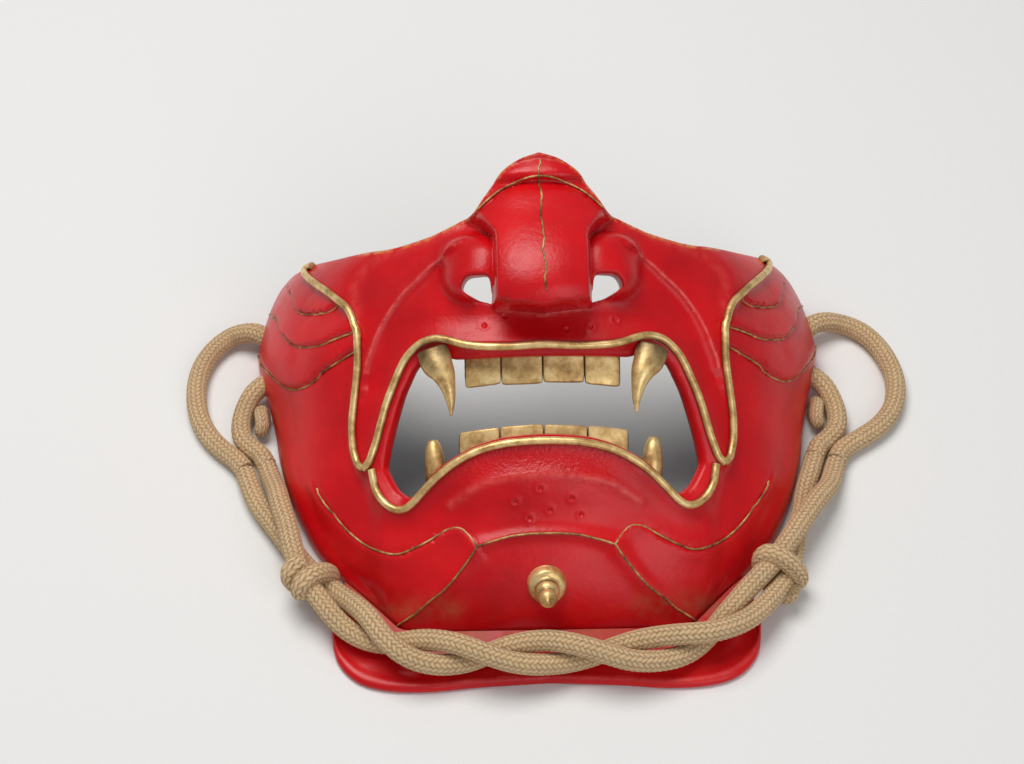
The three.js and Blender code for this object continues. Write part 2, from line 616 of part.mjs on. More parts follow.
function jawStrand(phase, from, to, steps) {
  const points = [];
  for (let i = 0; i <= steps; i++) {
    const t = from + ((to - from) * i) / steps;
    const { here, turn, side, other } = jawFrame(t);
    const angle = Math.PI * (phase + Math.sign(t) * turn);
    here.addScaledVector(side, PAIR_OFFSET * Math.cos(angle));
    here.addScaledVector(other, PAIR_OFFSET * Math.sin(angle));
    points.push(here);
  }
  return bar(points, CORD / 2, 8, steps);
}

// The jaw knot: one turn of cord pulled tight round the two strands.
function jawKnot(side) {
  const { from, to, wide, high } = JAW_KNOT;
  const { here, turn, side: across, other } = jawFrame((side * (from + to)) / 2);
  const ahead = across.clone().cross(other);
  const angle = side * Math.PI * turn;
  const long = across.clone().multiplyScalar(Math.cos(angle)).addScaledVector(other, Math.sin(angle));
  const short = ahead.clone().cross(long);
  const [turns, sides, radius] = [14, 6, CORD / 2];
  const positions = [];
  const index = [];
  for (let i = 0; i < turns; i++) {
    const round = (2 * Math.PI * i) / turns;
    const out = long.clone().multiplyScalar(Math.cos(round) * high);
    out.addScaledVector(short, Math.sin(round) * wide);
    out.normalize();
    const middle = here.clone().addScaledVector(long, Math.cos(round) * wide);
    middle.addScaledVector(short, Math.sin(round) * high).addScaledVector(ahead, 1.6 * Math.cos(round));
    for (let j = 0; j < sides; j++) {
      const bend = (2 * Math.PI * j) / sides;
      const point = middle.clone().addScaledVector(out, radius * Math.cos(bend));
      point.addScaledVector(ahead, radius * Math.sin(bend));
      positions.push(point.x, point.y, point.z);
      const [p, q] = [i * sides + j, i * sides + ((j + 1) % sides)];
      const [r, s] = [p, q].map((k) => (k + sides) % (turns * sides));
      index.push(p, r, q, q, r, s);
    }
  }
  const ring = new THREE.BufferGeometry();
  ring.setAttribute("position", new THREE.Float32BufferAttribute(positions, 3));
  ring.setIndex(index);
  let solid = solidOf(outward(ring));
  for (const phase of [0, 1]) {
    solid = solid.add(solidOf(outward(jawStrand(phase, side * from, side * to, 3))));
  }
  return geometryOf(solid);
}

// A closed body turned the right way out.
function outward(geometry) {
  const flat = geometry.index ? geometry.toNonIndexed() : geometry;
  const p = flat.attributes.position;
  let volume = 0;
  const [a, b, c] = [new THREE.Vector3(), new THREE.Vector3(), new THREE.Vector3()];
  for (let i = 0; i < p.count; i += 3) {
    a.fromBufferAttribute(p, i);
    b.fromBufferAttribute(p, i + 1);
    c.fromBufferAttribute(p, i + 2);
    volume += a.dot(b.cross(c));
  }
  if (volume > 0) return geometry;
  const turned = geometry.index ? geometry.clone() : mergeVertices(geometry);
  return turned.setIndex([...turned.index.array].reverse());
}

const red = new THREE.MeshStandardMaterial({ color: 0xb8101a, roughness: 0.38, metalness: 0 });
const gold = new THREE.MeshStandardMaterial({ color: 0xb08840, roughness: 0.35, metalness: 1 });
const cord = new THREE.MeshStandardMaterial({ color: 0xcda873, roughness: 0.85, metalness: 0 });

const faceGuard = new THREE.Group();
faceGuard.position.y = TO_MIDDLE;
const face = new THREE.Group();
face.rotation.x = LEAN;
face.position.z = -TABLE_AT_MOUTH * Math.cos(LEAN);
faceGuard.add(face);

function addPiece(parent, name, geometry, material) {
  const mesh = new THREE.Mesh(outward(geometry), material);
  mesh.name = name;
  parent.add(mesh);
  return mesh;
}

const shell = maskShell();
addPiece(face, "mask_shell", geometryOf(shell), red);
addPiece(faceGuard, "neck_flange", neckFlange(), red);
addPiece(face, "upper_rim_trim", upperRimTrim(), gold);
addPiece(face, "lower_rim_trim", lowerRimTrim(), gold);
addPiece(face, "upper_teeth", teeth([-22, -11.8, 0, 11.8, 22], 23.5, [9, 10, 10.2, 10, 9], 20), gold);
addPiece(face, "lower_teeth", teeth([-24, -12.4, 0, 12.4, 24], -12, [-3.2, -2, -1.4, -2, -3.2], -9), gold);
for (const [name, flip] of [["left", true], ["right", false]]) {
  addPiece(face, `upper_fang_${name}`, seated(outward(tusk(UPPER_FANG, 7)), shell, flip), gold);
  addPiece(face, `lower_fang_${name}`, seated(outward(tusk(LOWER_FANG, 8)), shell, flip), gold);
}
const studBody = new THREE.LatheGeometry(STUD_PROFILE.map(([r, h]) => new THREE.Vector2(r, h)), 12);
studBody.rotateX(Math.PI / 2 + STUD_TILT).translate(0, STUD_Y, skin(0, STUD_Y));
addPiece(face, "chin_stud", seated(outward(studBody), shell, false), gold);

const END_GAP = 0.0052; // the seat gap between two lengths of a strand, as a part of half the rope
for (const [name, phase] of [["front", 1], ["rear", 0]]) {
  const reach = JAW_KNOT.from - END_GAP;
  addPiece(faceGuard, `jaw_strand_${name}`, jawStrand(phase, -reach, reach, 40), cord);
}
for (const [name, side] of [["left", -1], ["right", 1]]) {
  const route = (points) => points.map(([x, y, z]) => new THREE.Vector3(side * x, y, z));
  addPiece(faceGuard, `jaw_knot_${name}`, jawKnot(side), cord);
  for (const [lie, phase] of [["outer", 0], ["inner", 1]]) {
    const strand = jawStrand(phase, side * (JAW_KNOT.to + END_GAP), side, 11);
    addPiece(faceGuard, `side_strand_${lie}_${name}`, strand, cord);
  }
  addPiece(faceGuard, `ear_loop_${name}`, bar(route(EAR_LOOPS[name]), CORD / 2, 8, 22), cord);
  addPiece(faceGuard, `inner_loop_${name}`, bar(route(INNER_LOOP), CORD / 2, 8, 12), cord);
  for (const [kind, { x, y, z, width, length, height }] of Object.entries(KNOTS)) {
    const lump = new THREE.SphereGeometry(0.5, 10, 6).rotateX(Math.PI / 2).scale(width, length, height);
    addPiece(faceGuard, `${kind}_${name}`, lump, cord).position.set(side * x, y, z);
  }
}

export default faceGuard;
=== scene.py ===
import math

import bpy
import numpy as np
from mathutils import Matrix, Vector
from mathutils.geometry import delaunay_2d_cdt
from mathutils.kdtree import KDTree


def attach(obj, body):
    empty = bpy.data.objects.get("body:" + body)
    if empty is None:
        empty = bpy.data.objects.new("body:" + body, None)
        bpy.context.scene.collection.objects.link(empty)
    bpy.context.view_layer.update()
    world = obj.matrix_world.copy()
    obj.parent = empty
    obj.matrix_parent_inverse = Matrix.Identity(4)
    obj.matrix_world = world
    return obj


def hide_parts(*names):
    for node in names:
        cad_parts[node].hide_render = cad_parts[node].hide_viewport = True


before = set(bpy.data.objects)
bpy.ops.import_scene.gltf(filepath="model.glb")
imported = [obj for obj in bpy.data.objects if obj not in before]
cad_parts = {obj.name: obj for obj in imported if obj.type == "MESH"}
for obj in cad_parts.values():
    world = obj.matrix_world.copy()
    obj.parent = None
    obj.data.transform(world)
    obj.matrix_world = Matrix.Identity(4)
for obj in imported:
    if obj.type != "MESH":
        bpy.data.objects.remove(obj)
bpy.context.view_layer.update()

# Table, light and camera
# The guard lies on a plain pale surface under one large soft light from behind and above, with a
# weaker one from the front. The camera looks down on it from the chin side, a little off its middle.
CAMERA_AIM = (-0.0088, -0.0011, 0.0511)
CAMERA_AWAY = 0.678
CAMERA_DOWN = math.radians(50.7)
CAMERA_ACROSS = math.radians(1.2)
camera_data = bpy.data.cameras.new("camera")
camera_data.lens = 85
camera_data.sensor_width = 36
camera_data.clip_start = 0.01
camera = bpy.data.objects.new("camera", camera_data)
bpy.context.scene.collection.objects.link(camera)
bpy.context.scene.camera = camera
level = Vector((math.sin(CAMERA_ACROSS), math.cos(CAMERA_ACROSS), 0)) * math.cos(CAMERA_DOWN)
looking = level - Vector((0, 0, math.sin(CAMERA_DOWN)))
camera.location = Vector(CAMERA_AIM) - looking * CAMERA_AWAY
camera.rotation_mode = "QUATERNION"
camera.rotation_quaternion = looking.to_track_quat("-Z", "Y")


def soft_light(name, place, aim, across, power, colour):
    data = bpy.data.lights.new(name, "AREA")
    data.shape = "DISK"
    data.size = across
    data.energy = power
    data.color = colour
    light = bpy.data.objects.new(name, data)
    light.location = place
    light.rotation_mode = "QUATERNION"
    light.rotation_quaternion = (Vector(aim) - Vector(place)).to_track_quat("-Z", "Y")
    bpy.context.scene.collection.objects.link(light)


soft_light("key_light", (-0.2, 0.24, 1.0), (0, 0, 0.04), 0.7, 8.0, (1, 0.985, 0.96))
soft_light("front_light", (0.45, -0.9, 0.75), (0, 0, 0.03), 0.9, 3.6, (0.96, 0.98, 1))

world = bpy.data.worlds.new("studio")
world.use_nodes = True
world.node_tree.nodes["Background"].inputs["Color"].default_value = (0.9, 0.93, 1, 1)
world.node_tree.nodes["Background"].inputs["Strength"].default_value = 0.3
bpy.context.scene.world = world
bpy.context.scene.view_settings.view_transform = "Standard"


def finish_of(name, colour, roughness, metallic=0.0, **sockets):
    """A surface finish with its shader's own values; returns the material, its nodes and its shader."""
    material = bpy.data.materials.new(name)
    material.use_nodes = True
    shader = material.node_tree.nodes["Principled BSDF"]
    shader.inputs["Base Color"].default_value = (*colour, 1)
    shader.inputs["Roughness"].default_value = roughness
    shader.inputs["Metallic"].default_value = metallic
    for socket, value in sockets.items():
        shader.inputs[socket.replace("_", " ")].default_value = value
    return material, material.node_tree, shader


def add_node(tree, kind, values=None, **settings):
    """A new node with its settings and the values of its sockets."""
    made = tree.nodes.new(kind)
    for key, value in settings.items():
        setattr(made, key, value)
    for socket, value in (values or {}).items():
        made.inputs[socket].default_value = value
    return made


def speckle(tree, scale, detail=4.0, roughness=0.6):
    """Noise on the object's own coordinates."""
    place = add_node(tree, "ShaderNodeTexCoord")
    noise = add_node(tree, "ShaderNodeTexNoise", {"Scale": scale, "Detail": detail, "Roughness": roughness})
    tree.links.new(place.outputs["Object"], noise.inputs["Vector"])
    return noise.outputs["Fac"]


def ramp(tree, value, stops):
    """Colours or greys picked from stops by a value."""
    made = add_node(tree, "ShaderNodeValToRGB")
    band = made.color_ramp
    while len(band.elements) < len(stops):
        band.elements.new(0.5)
    for element, (at, colour) in zip(band.elements, stops):
        element.position = at
        element.color = (*colour, 1) if hasattr(colour, "__len__") else (colour, colour, colour, 1)
    tree.links.new(value, made.inputs["Fac"])
    return made.outputs["Color"]


def mixed(tree, amount, under, over, blend="MIX"):
    """Two colours mixed by an amount; either may be a plain colour."""
    made = add_node(tree, "ShaderNodeMix", data_type="RGBA", blend_type=blend)
    if hasattr(amount, "links"):
        tree.links.new(amount, made.inputs["Factor"])
    else:
        made.inputs["Factor"].default_value = amount
    for socket, colour in (("A", under), ("B", over)):
        slot = [s for s in made.inputs if s.name == socket and s.type == "RGBA"][0]
        if hasattr(colour, "links"):
            tree.links.new(colour, slot)
        else:
            slot.default_value = (*colour, 1)
    return [s for s in made.outputs if s.type == "RGBA"][0]


def reckon(tree, operation, first, second=None, third=None):
    """A sum worked out on numbers or on other nodes' results."""
    made = add_node(tree, "ShaderNodeMath", operation=operation)
    for i, value in enumerate((first, second, third)):
        if value is None:
            continue
        if hasattr(value, "links"):
            tree.links.new(value, made.inputs[i])
        else:
            made.inputs[i].default_value = value
    return made.outputs["Value"]


def carved(tree, name):
    """A number stored on the piece's points."""
    made = add_node(tree, "ShaderNodeAttribute", attribute_name=name)
    return made.outputs["Fac"]


def flecked(tree, name, noise, stops):
    """A stored number broken up by noise."""
    return reckon(tree, "MULTIPLY", carved(tree, name), ramp(tree, noise, stops))


def bumped(tree, shader, height, depth, under=None):
    """Fine relief of a given depth in metres on a shader, over another relief where one is given."""
    made = add_node(tree, "ShaderNodeBump", {"Strength": 1.0, "Distance": depth})
    tree.links.new(height, made.inputs["Height"])
    if under is not None:
        tree.links.new(under.outputs["Normal"], made.inputs["Normal"])
    tree.links.new(made.outputs["Normal"], shader.inputs["Normal"])
    return made


table_finish, tree, shader = finish_of("table_finish", (0.8, 0.79, 0.77), 0.7)
bumped(tree, shader, speckle(tree, 260.0), 0.0002)
table_mesh = bpy.data.meshes.new("table_top")
TABLE_HALF = 4.0
corners = [(x * TABLE_HALF, y * TABLE_HALF, 0) for x, y in ((-1, -1), (1, -1), (1, 1), (-1, 1))]
table_mesh.from_pydata(corners, [], [(0, 1, 2, 3)])
table_mesh.materials.append(table_finish)
table_top = bpy.data.objects.new("table_top", table_mesh)
bpy.context.scene.collection.objects.link(table_top)

# The shell
# A half mask with a scowling nose, folded cheeks, parted lips and chin, cast and lacquered red outside
# and black inside. It is one wall 3.2 mm thick, pierced by the mouth and two nostrils.
# It is worked out in millimetres in the face's own frame, x across, y up, z out, then laid on its back.
LEAN = math.radians(35)
TABLE_AT_MOUTH = 7.8
TO_MIDDLE = 26.61
WALL = 3.2
NOSE_HALF = 13
NOSE_FOOT = 29.3
NOSE_FOOT_RISE = 1.6
BRIDGE_WIDER = 5
WING_X = 19.5
WING_Y = 43.8
WING_HALF = 9.2
WING_DOWN = 10.5
WING_UP = 9
WING_RISE = 9
WING_SQUARE = 2.7
FOLD_TOP = 68.2
FOLD_DROP = 8.6
FOLD_HALF = 17
SECOND_FOLD = 6
SECTIONS = [
    (-63, 36, 52.8), (-60, 41, 54.6), (-55, 46.5, 57.4), (-50, 52, 59.6), (-45, 58, 61), (-38, 65, 62),
    (-30, 70, 62), (-20, 74.6, 62), (-10, 77.8, 62.3), (0, 79.8, 63), (8, 82, 63.4), (14, 84, 63.5),
    (22, 86, 63.5), (28, 85.7, 63.4), (36, 84, 62.8), (42, 82, 61.8), (47, 79.5, 60.8), (52, 75, 59.4),
    (58, 69, 57.5), (64, 64, 55.4), (76, 56, 51),
]
REAR_RISE = [
    (-60, 0.5), (-30, 1.5), (-8, 4), (8, 3), (18, 0.1), (26, 0.1), (32, 2.5), (38, 7), (44, 13), (50, 21),
    (56, 32), (76, 50),
]
TOP_EDGE = [
    (0, 75), (6, 73), (10.5, 70), (13.5, 66), (16.5, 61.5), (18.5, 58.6), (22, 57), (28, 54.3),
    (31.2, 53), (39, 51), (44.3, 50.2), (49, 50.2), (54, 50), (60, 49.7), (66, 49.8), (72, 50.2),
    (77, 48.8), (81, 45.5), (84, 41),
]
NOSE_CREST = [
    (28, 78.5), (31, 81), (36, 82), (44, 80), (52, 75.5), (58, 71), (63, 67.5), (66.5, 64), (68.5, 65.5),
    (72, 64.5), (76, 63),
]
UPPER_RIM = [
    (0, 20.7), (9, 20.4), (17, 20.6), (22, 21.2), (25.5, 22.3), (29.2, 23), (33, 22.2), (36.2, 19.8),
    (38.7, 16.5), (41.2, 11), (43.4, 5.5), (45, 0), (46.4, -5), (47.9, -9.3), (49.6, -12.6),
]
CHEEK_LINE = [
    (51.2, -12.8), (52.8, -10.4), (53.9, -6.5), (54.1, 0), (53.4, 7), (52.6, 13), (52.1, 19.5),
    (52.3, 25.5), (53.3, 30), (55.2, 34), (58.2, 36.8), (61.6, 39.7), (65, 42.4), (68.2, 45.4),
    (69.8, 48),
]
LOWER_RIM = [
    (0, -6.5), (4, -6.6), (10.9, -7.2), (18, -9), (24.5, -12.3), (29.4, -16.1), (33.7, -20.2), (37.3, -23.8),
    (40.3, -25), (43.4, -23.8), (45.9, -21), (47.8, -17.8), (48.8, -15.4),
]
MOUTH = [
    (0, 17.9), (12, 17.8), (22, 17.6), (25.5, 17.8), (28.5, 19.2), (32.5, 18.6), (36.2, 15.3), (38.6, 11),
    (40.7, 6.3), (43.6, -2.9), (45.4, -10.5), (45.6, -13.7), (43, -18.8), (41, -20.8), (38.6, -21.9),
    (36, -20.9), (33, -17.6), (29, -13.6), (24, -10.2), (17.7, -7.3), (10.8, -5.6), (0, -4.9),
]
NOSTRIL = [
    (22.7, 35.8), (22.9, 37.8), (21.4, 39.9), (18.6, 40.4), (14.6, 39.4), (14.2, 32.6), (16.4, 32.4),
    (19.2, 33.5),
]
CHEEK_FOLD = [
    (28.3, 46.4), (31.8, 44), (35.6, 40.4), (39.4, 36.9), (42.6, 33), (45.2, 29.1), (47.5, 24.6),
    (48.9, 20.6), (50.2, 17.5), (50.7, 14.7),
]
EYE_FOLD = [
    (24, 55.6), (31.2, 52.6), (41.6, 49.4), (45.7, 48.1), (49, 46.2), (51.6, 43.7), (53.1, 41.1),
    (53.6, 38.4), (53.1, 34.7), (52.6, 31),
]
LIP_FOLD = [(0, -15.8), (4.9, -16), (10.8, -16.7), (16.6, -18), (20.6, -20), (26.4, -23.9)]
CHIN_PANEL = [
    (0, -32.2), (4.6, -32.3), (9.3, -32.8), (12.7, -33.6), (16.5, -34.7), (19.1, -35.6),
]
CHIN_SEAM = [
    (19.1, -35.6), (21.4, -39), (23.8, -42.1), (26.5, -45.4), (29.3, -48.2), (33, -50.9), (36.1, -53.7),
    (38.4, -55.2), (43, -58.2),
]
JAW_SEAM = [
    (66.5, -18), (64.3, -21.7), (61.1, -25.6), (57.8, -29.4), (54.7, -32.3), (50.9, -34.9), (44.9, -37),
    (41.2, -37.3), (38.1, -36.3), (34.9, -34.9), (31.2, -32.9), (28.1, -31), (25.6, -30.3),
    (23.6, -30.6), (21.7, -32.3), (19.1, -35.6),
]
CHEEK_PLATES = [
    [
        (75.4, 42), (74, 38.5), (72, 34.9), (67.5, 33.6), (64.5, 33.5), (61.8, 33.7), (57.6, 36.2),
    ],
    [
        (82.5, 37.5), (79.8, 34), (78.2, 29.5), (74.1, 25.1), (71.2, 24.1), (67.5, 23.6), (64.2, 23.9),
        (60.2, 25), (53, 26.8),
    ],
    [
        (85.5, 24.5), (84, 20.5), (80.2, 15.9), (77.8, 13.4), (75.1, 12.1), (72.5, 11.8), (69.2, 12.6),
        (66.3, 14.1), (64.2, 16.1), (57.5, 19.5), (52.6, 21.8),
    ],
]
LIP_RISE = 1.3
RIM_RISE = 1.5
CHIN_RISE = 3.4
MUZZLE_STEP = 2.2
BROW_STEP = 0.9
CHEEK_BACK = 1.6
PLATES_FROM = 50
PLATE_STEP = 1.35
PLATE_GROOVE = 0.3
PORE_LIP = 0.22
PORE_DEPTH = 0.55
CHIN_PORES = [(-1.5, -19.8), (7.2, -22.6), (-8.4, -23.4), (1.2, -25.8), (-4.6, -28), (9.8, -27.2)]
LIP_PORES = [(13.5, 25.4), (20.6, 27.4), (-16.2, 26.2), (-10.4, 28.8), (6.8, 24.6)]


def along(rows, place, column=1):
    """A column of a table at places along its first column, by cubic pieces through its rows."""
    rows = np.asarray(rows, float)
    at, value = rows[:, 0], rows[:, column]
    last = len(at) - 1
    ahead = np.minimum(np.arange(last + 1) + 1, last)
    behind = np.maximum(np.arange(last + 1) - 1, 0)
    slope = (value[ahead] - value[behind]) / (at[ahead] - at[behind])
    place = np.asarray(place, float)
    i = np.clip(np.searchsorted(at, place) - 1, 0, last - 1)
    span = at[i + 1] - at[i]
    t = np.clip((place - at[i]) / span, 0, 1)
    rise = t * t * (3 - 2 * t)
    bend = span * slope[i] * t * (1 - t) ** 2 - span * slope[i + 1] * t * t * (1 - t)
    return value[i] * (1 - rise) + value[i + 1] * rise + bend


def smooth(t):
    """A soft step from 0 to 1."""
    t = np.clip(t, 0, 1)
    return t * t * (3 - 2 * t)


def bell(distance, width):
    """A soft bump of height one at distance nought."""
    return np.exp(-((distance / width) ** 2))


def unit(rows):
    """Each row of a table as a direction of length one."""
    return rows / np.linalg.norm(rows, axis=1)[:, None]


def full_turn(count):
    """Angles spaced evenly round a circle."""
    return np.linspace(0, 2 * np.pi, count, endpoint=False)


def rounded_line(points, step, closed=False):
    """Points every step along a smooth line through the given ones."""
    points = np.asarray(points, float)
    if closed:
        padded = np.vstack([points[-1], points, points[:2]])
    else:
        padded = np.vstack([2 * points[0] - points[1], points, 2 * points[-1] - points[-2]])
    run = []
    for a, b, c, d in zip(padded, padded[1:], padded[2:], padded[3:]):
        t = np.linspace(0, 1, 24, endpoint=False)[:, None]
        square = (2 * a - 5 * b + 4 * c - d) * t**2
        cube = (3 * b - a - 3 * c + d) * t**3
        run.append((2 * b + (c - a) * t + square + cube) / 2)
    run.append(points[:1] if closed else points[-1:])
    run = np.vstack(run)
    length = np.concatenate([[0], np.cumsum(np.linalg.norm(np.diff(run, axis=0), axis=1))])
    count = max(2, round(length[-1] / step))
    at = np.linspace(0, length[-1], count + 1)
    if closed:
        at = at[:-1]
    return np.column_stack([np.interp(at, length, run[:, k]) for k in range(run.shape[1])])


def to_line(line, x, y):
    """Distance from points to a line of points, and its sign: positive on the left of the line's run."""
    best = np.full(len(x), 1e9)
    side = np.ones(len(x))
    for (ax, ay), (bx, by) in zip(line, line[1:]):
        dx, dy = bx - ax, by - ay
        t = np.clip(((x - ax) * dx + (y - ay) * dy) / (dx * dx + dy * dy), 0, 1)
        ex, ey = x - ax - t * dx, y - ay - t * dy
        distance = np.hypot(ex, ey)
        nearer = distance < best
        best[nearer] = distance[nearer]
        side[nearer] = np.where(dx * ey - dy * ex > 0, 1, -1)[nearer]
    return best, side


fine = {name: rounded_line(line, 1.2) for name, line in {
    "upper_rim": UPPER_RIM, "lower_rim": LOWER_RIM, "cheek_line": CHEEK_LINE, "cheek_fold": CHEEK_FOLD,
    "eye_fold": EYE_FOLD, "lip_fold": LIP_FOLD, "chin_panel": CHIN_PANEL, "chin_seam": CHIN_SEAM,
    "jaw_seam": JAW_SEAM}.items()}
fine_plates = [rounded_line(plate, 1.2) for plate in CHEEK_PLATES]


def half_at(y):
    """Half the shell's breadth at a height on the face."""
    return along(SECTIONS, y, 1)


def front_at(y):
    """How far the plain face stands out at a height."""
    return along(SECTIONS, y, 2)


def rear_at(y):
    """Where the table's plane lies behind the face at a height."""
    return TABLE_AT_MOUTH - math.tan(LEAN) * y


def angle_of(x, y):
    """Angle round the wall, from its middle, of points on the face."""
    return np.arcsin(np.clip(np.asarray(x) / half_at(y), -1, 1))


def last_angle(y):
    """Angle round the wall at which its rear edge lies."""
    return np.arccos(np.clip(along(REAR_RISE, y) / (front_at(y) - rear_at(y)), 0, 1))


def to_fold(x):
    """Height on the face of the fold that arches over the nose's bridge."""
    return FOLD_TOP - FOLD_DROP * (x / FOLD_HALF) ** 2


def bridge_at(y):
    """Nought at the nose's body, one at its bridge."""
    return smooth((y - 50) / 11)


def nose_rise(x, y, base):
    """Height of the nose's body over the plain face."""
    bridge = bridge_at(y)
    half = NOSE_HALF + BRIDGE_WIDER * bridge
    crest = along(NOSE_CREST, np.maximum(y, 28))
    top = crest - (2.8 + 3.8 * bridge) * (x / half) ** 2.4
    side = 1 - smooth((x - half + 0.6) / (2 + 5 * bridge))
    frown = 0
    for below, deep in ((to_fold(x) - y, 1.0), (to_fold(x) + SECOND_FOLD - y, 0.7)):
        frown = frown + deep * smooth(below / 0.4) * bell(np.maximum(0, below), 2.2)
    foot = NOSE_FOOT + NOSE_FOOT_RISE * np.minimum(1, x / NOSE_HALF)
    return np.maximum(0, top - base - frown * bridge) * side * smooth((y - foot) / 0.9)


def wing_rise(x, y):
    """Height of the wing beside the nostril."""
    q = np.abs((x - WING_X) / WING_HALF) ** WING_SQUARE
    q = q + np.abs((y - WING_Y) / np.where(y < WING_Y, WING_DOWN, WING_UP)) ** WING_SQUARE
    return WING_RISE * np.maximum(0, (1 - q + np.sqrt((1 - q) ** 2 + 0.004)) / 2) ** 0.42


def relief(x, y):
    """Height of the lips, folds and cheek plates over the plain face."""
    rim = np.minimum(to_line(fine["upper_rim"], x, y)[0], to_line(fine["lower_rim"], x, y)[0])
    lip = LIP_RISE * smooth((30 - y) / 8) * smooth((y - 19) / 2) * (1 - smooth((x - 18) / 14))
    lip += RIM_RISE * bell(rim, 3.2) + CHIN_RISE * bell(y + 17, 9) * np.maximum(0, 1 - (x / 40) ** 2)
    crease, side = to_line(fine["cheek_fold"], x, y)
    muzzle = np.where(side < 0, 1 - np.exp(-crease / 1.3), 0)
    folds = -MUZZLE_STEP * muzzle * bell(crease, 6.5)
    brow, side = to_line(fine["eye_fold"], x, y)
    folds += BROW_STEP * np.where(side < 0, smooth((3 - brow) / 6), smooth((3 + brow) / 6)) * bell(brow, 9)
    lower, _ = to_line(fine["lip_fold"], x, y)
    folds += 0.4 * bell(lower, 1.4)
    chin = np.minimum(to_line(fine["chin_panel"], x, y)[0], to_line(fine["chin_seam"], x, y)[0])
    folds += 1.0 * bell(chin, 2.4) + 0.35 * bell(to_line(fine["chin_panel"], x, y)[0], 0.9)
    jaw, side = to_line(fine["jaw_seam"], x, y)
    folds += 0.7 * np.where(side > 0, 1, 0.4) * bell(jaw, 3.4) - 0.25 * bell(jaw, 0.7)
    cheek, side = to_line(fine["cheek_line"], x, y)
    behind = np.where((x > 45) & (side < 0), smooth(cheek / 3) * smooth((x - 45) / 7), 0)
    plates = np.zeros(len(x))
    for plate in fine_plates:
        edge, side = to_line(plate, x, y)
        on_cheek = x > PLATES_FROM
        step = PLATE_STEP * (1 - smooth(edge / 13)) * smooth(edge / 0.9)
        groove = -PLATE_GROOVE * bell(edge, 0.8) * on_cheek
        plates += np.where(on_cheek & (side < 0), step, groove)
    return lip + folds - CHEEK_BACK * behind + behind * plates


def pits(x, y):
    """Small round pores, each with a low lip round it."""
    depth = np.zeros(len(x))
    for px, py in CHIN_PORES + LIP_PORES:
        away = np.hypot(x - px, y - py)
        depth += PORE_LIP * bell(away - 1.0, 0.42) - PORE_DEPTH * bell(away, 0.55)
    return depth


def shell_point(x, y, inner=False):
    """Points of the shell's outer or inner face."""
    x, y = np.asarray(x, float), np.asarray(y, float)
    inset = WALL if inner else 0
    half, rear = half_at(y) - inset, rear_at(y)
    depth = front_at(y) - inset - rear
    part = np.minimum(1, np.abs(x) / half)
    drop = np.sqrt(1 - part * part)
    base = rear + depth * drop
    across = np.abs(x)
    crest = along(NOSE_CREST, np.maximum(y, 28))
    if inner:
        width = 24 - 9 * smooth((y - 48) / 6)
        inside = np.where(across < width, np.cos(np.pi / 2 * np.minimum(1, across / width)) ** 2, 0)
        hollow = 0.78 * np.maximum(0, crest - base - inset)
        return np.column_stack([x, y, base + hollow * inside * smooth((y - 29) / 5)])
    lean_x, lean_z = part / half, drop / depth
    norm = np.hypot(lean_x, lean_z)
    rise = relief(across, y) * smooth((1 - part) * 12) + pits(x, y)
    out = base + lean_z / norm * rise + np.maximum(nose_rise(across, y, base), wing_rise(across, y))
    return np.column_stack([x + np.sign(x) * lean_x / norm * rise, y, out])


def to_row(points):
    """The row frame's place, in metres, of points given in the face's frame in millimetres."""
    points = np.asarray(points, float)
    x, y, z = points.T
    back = y * math.cos(LEAN) - z * math.sin(LEAN) + TO_MIDDLE
    up = y * math.sin(LEAN) + z * math.cos(LEAN) - TABLE_AT_MOUTH * math.cos(LEAN)
    return np.column_stack([x, back, up]) / 1000


def mirrored(points):
    """The other half of a line given from the middle outwards, run from its far end to the middle."""
    return [(-x, y, *rest) for x, y, *rest in points][::-1]


def in_loop(loop, x, y):
    """Whether points lie inside a closed line."""
    inside = np.zeros(len(x), bool)
    for (ax, ay), (bx, by) in zip(loop, np.roll(loop, -1, axis=0)):
        if ay == by:
            continue
        crosses = (ay > y) != (by > y)
        inside ^= crosses & (x < ax + (y - ay) * (bx - ax) / (by - ay))
    return inside


def made_piece(name, points, faces, material, node, sharp=None):
    """A finished piece of the guard from points in metres in the row frame."""
    mesh = bpy.data.meshes.new(name)
    mesh.from_pydata([tuple(p) for p in points], [], [tuple(f) for f in faces])
    mesh.validate()
    mesh.shade_smooth()
    if sharp is not None:
        mesh.set_sharp_from_angle(angle=math.radians(sharp))
    mesh.materials.append(material)
    piece = bpy.data.objects.new(name, mesh)
    bpy.context.scene.collection.objects.link(piece)
    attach(piece, "root")
    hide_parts(*([node] if isinstance(node, str) else node))
    return piece


def store(piece, name, values):
    """Keeps a number for each point of a piece, for its finish to read."""
    made = piece.data.attributes.new(name, "FLOAT", "POINT")
    made.data.foreach_set("value", np.asarray(values, np.float32))


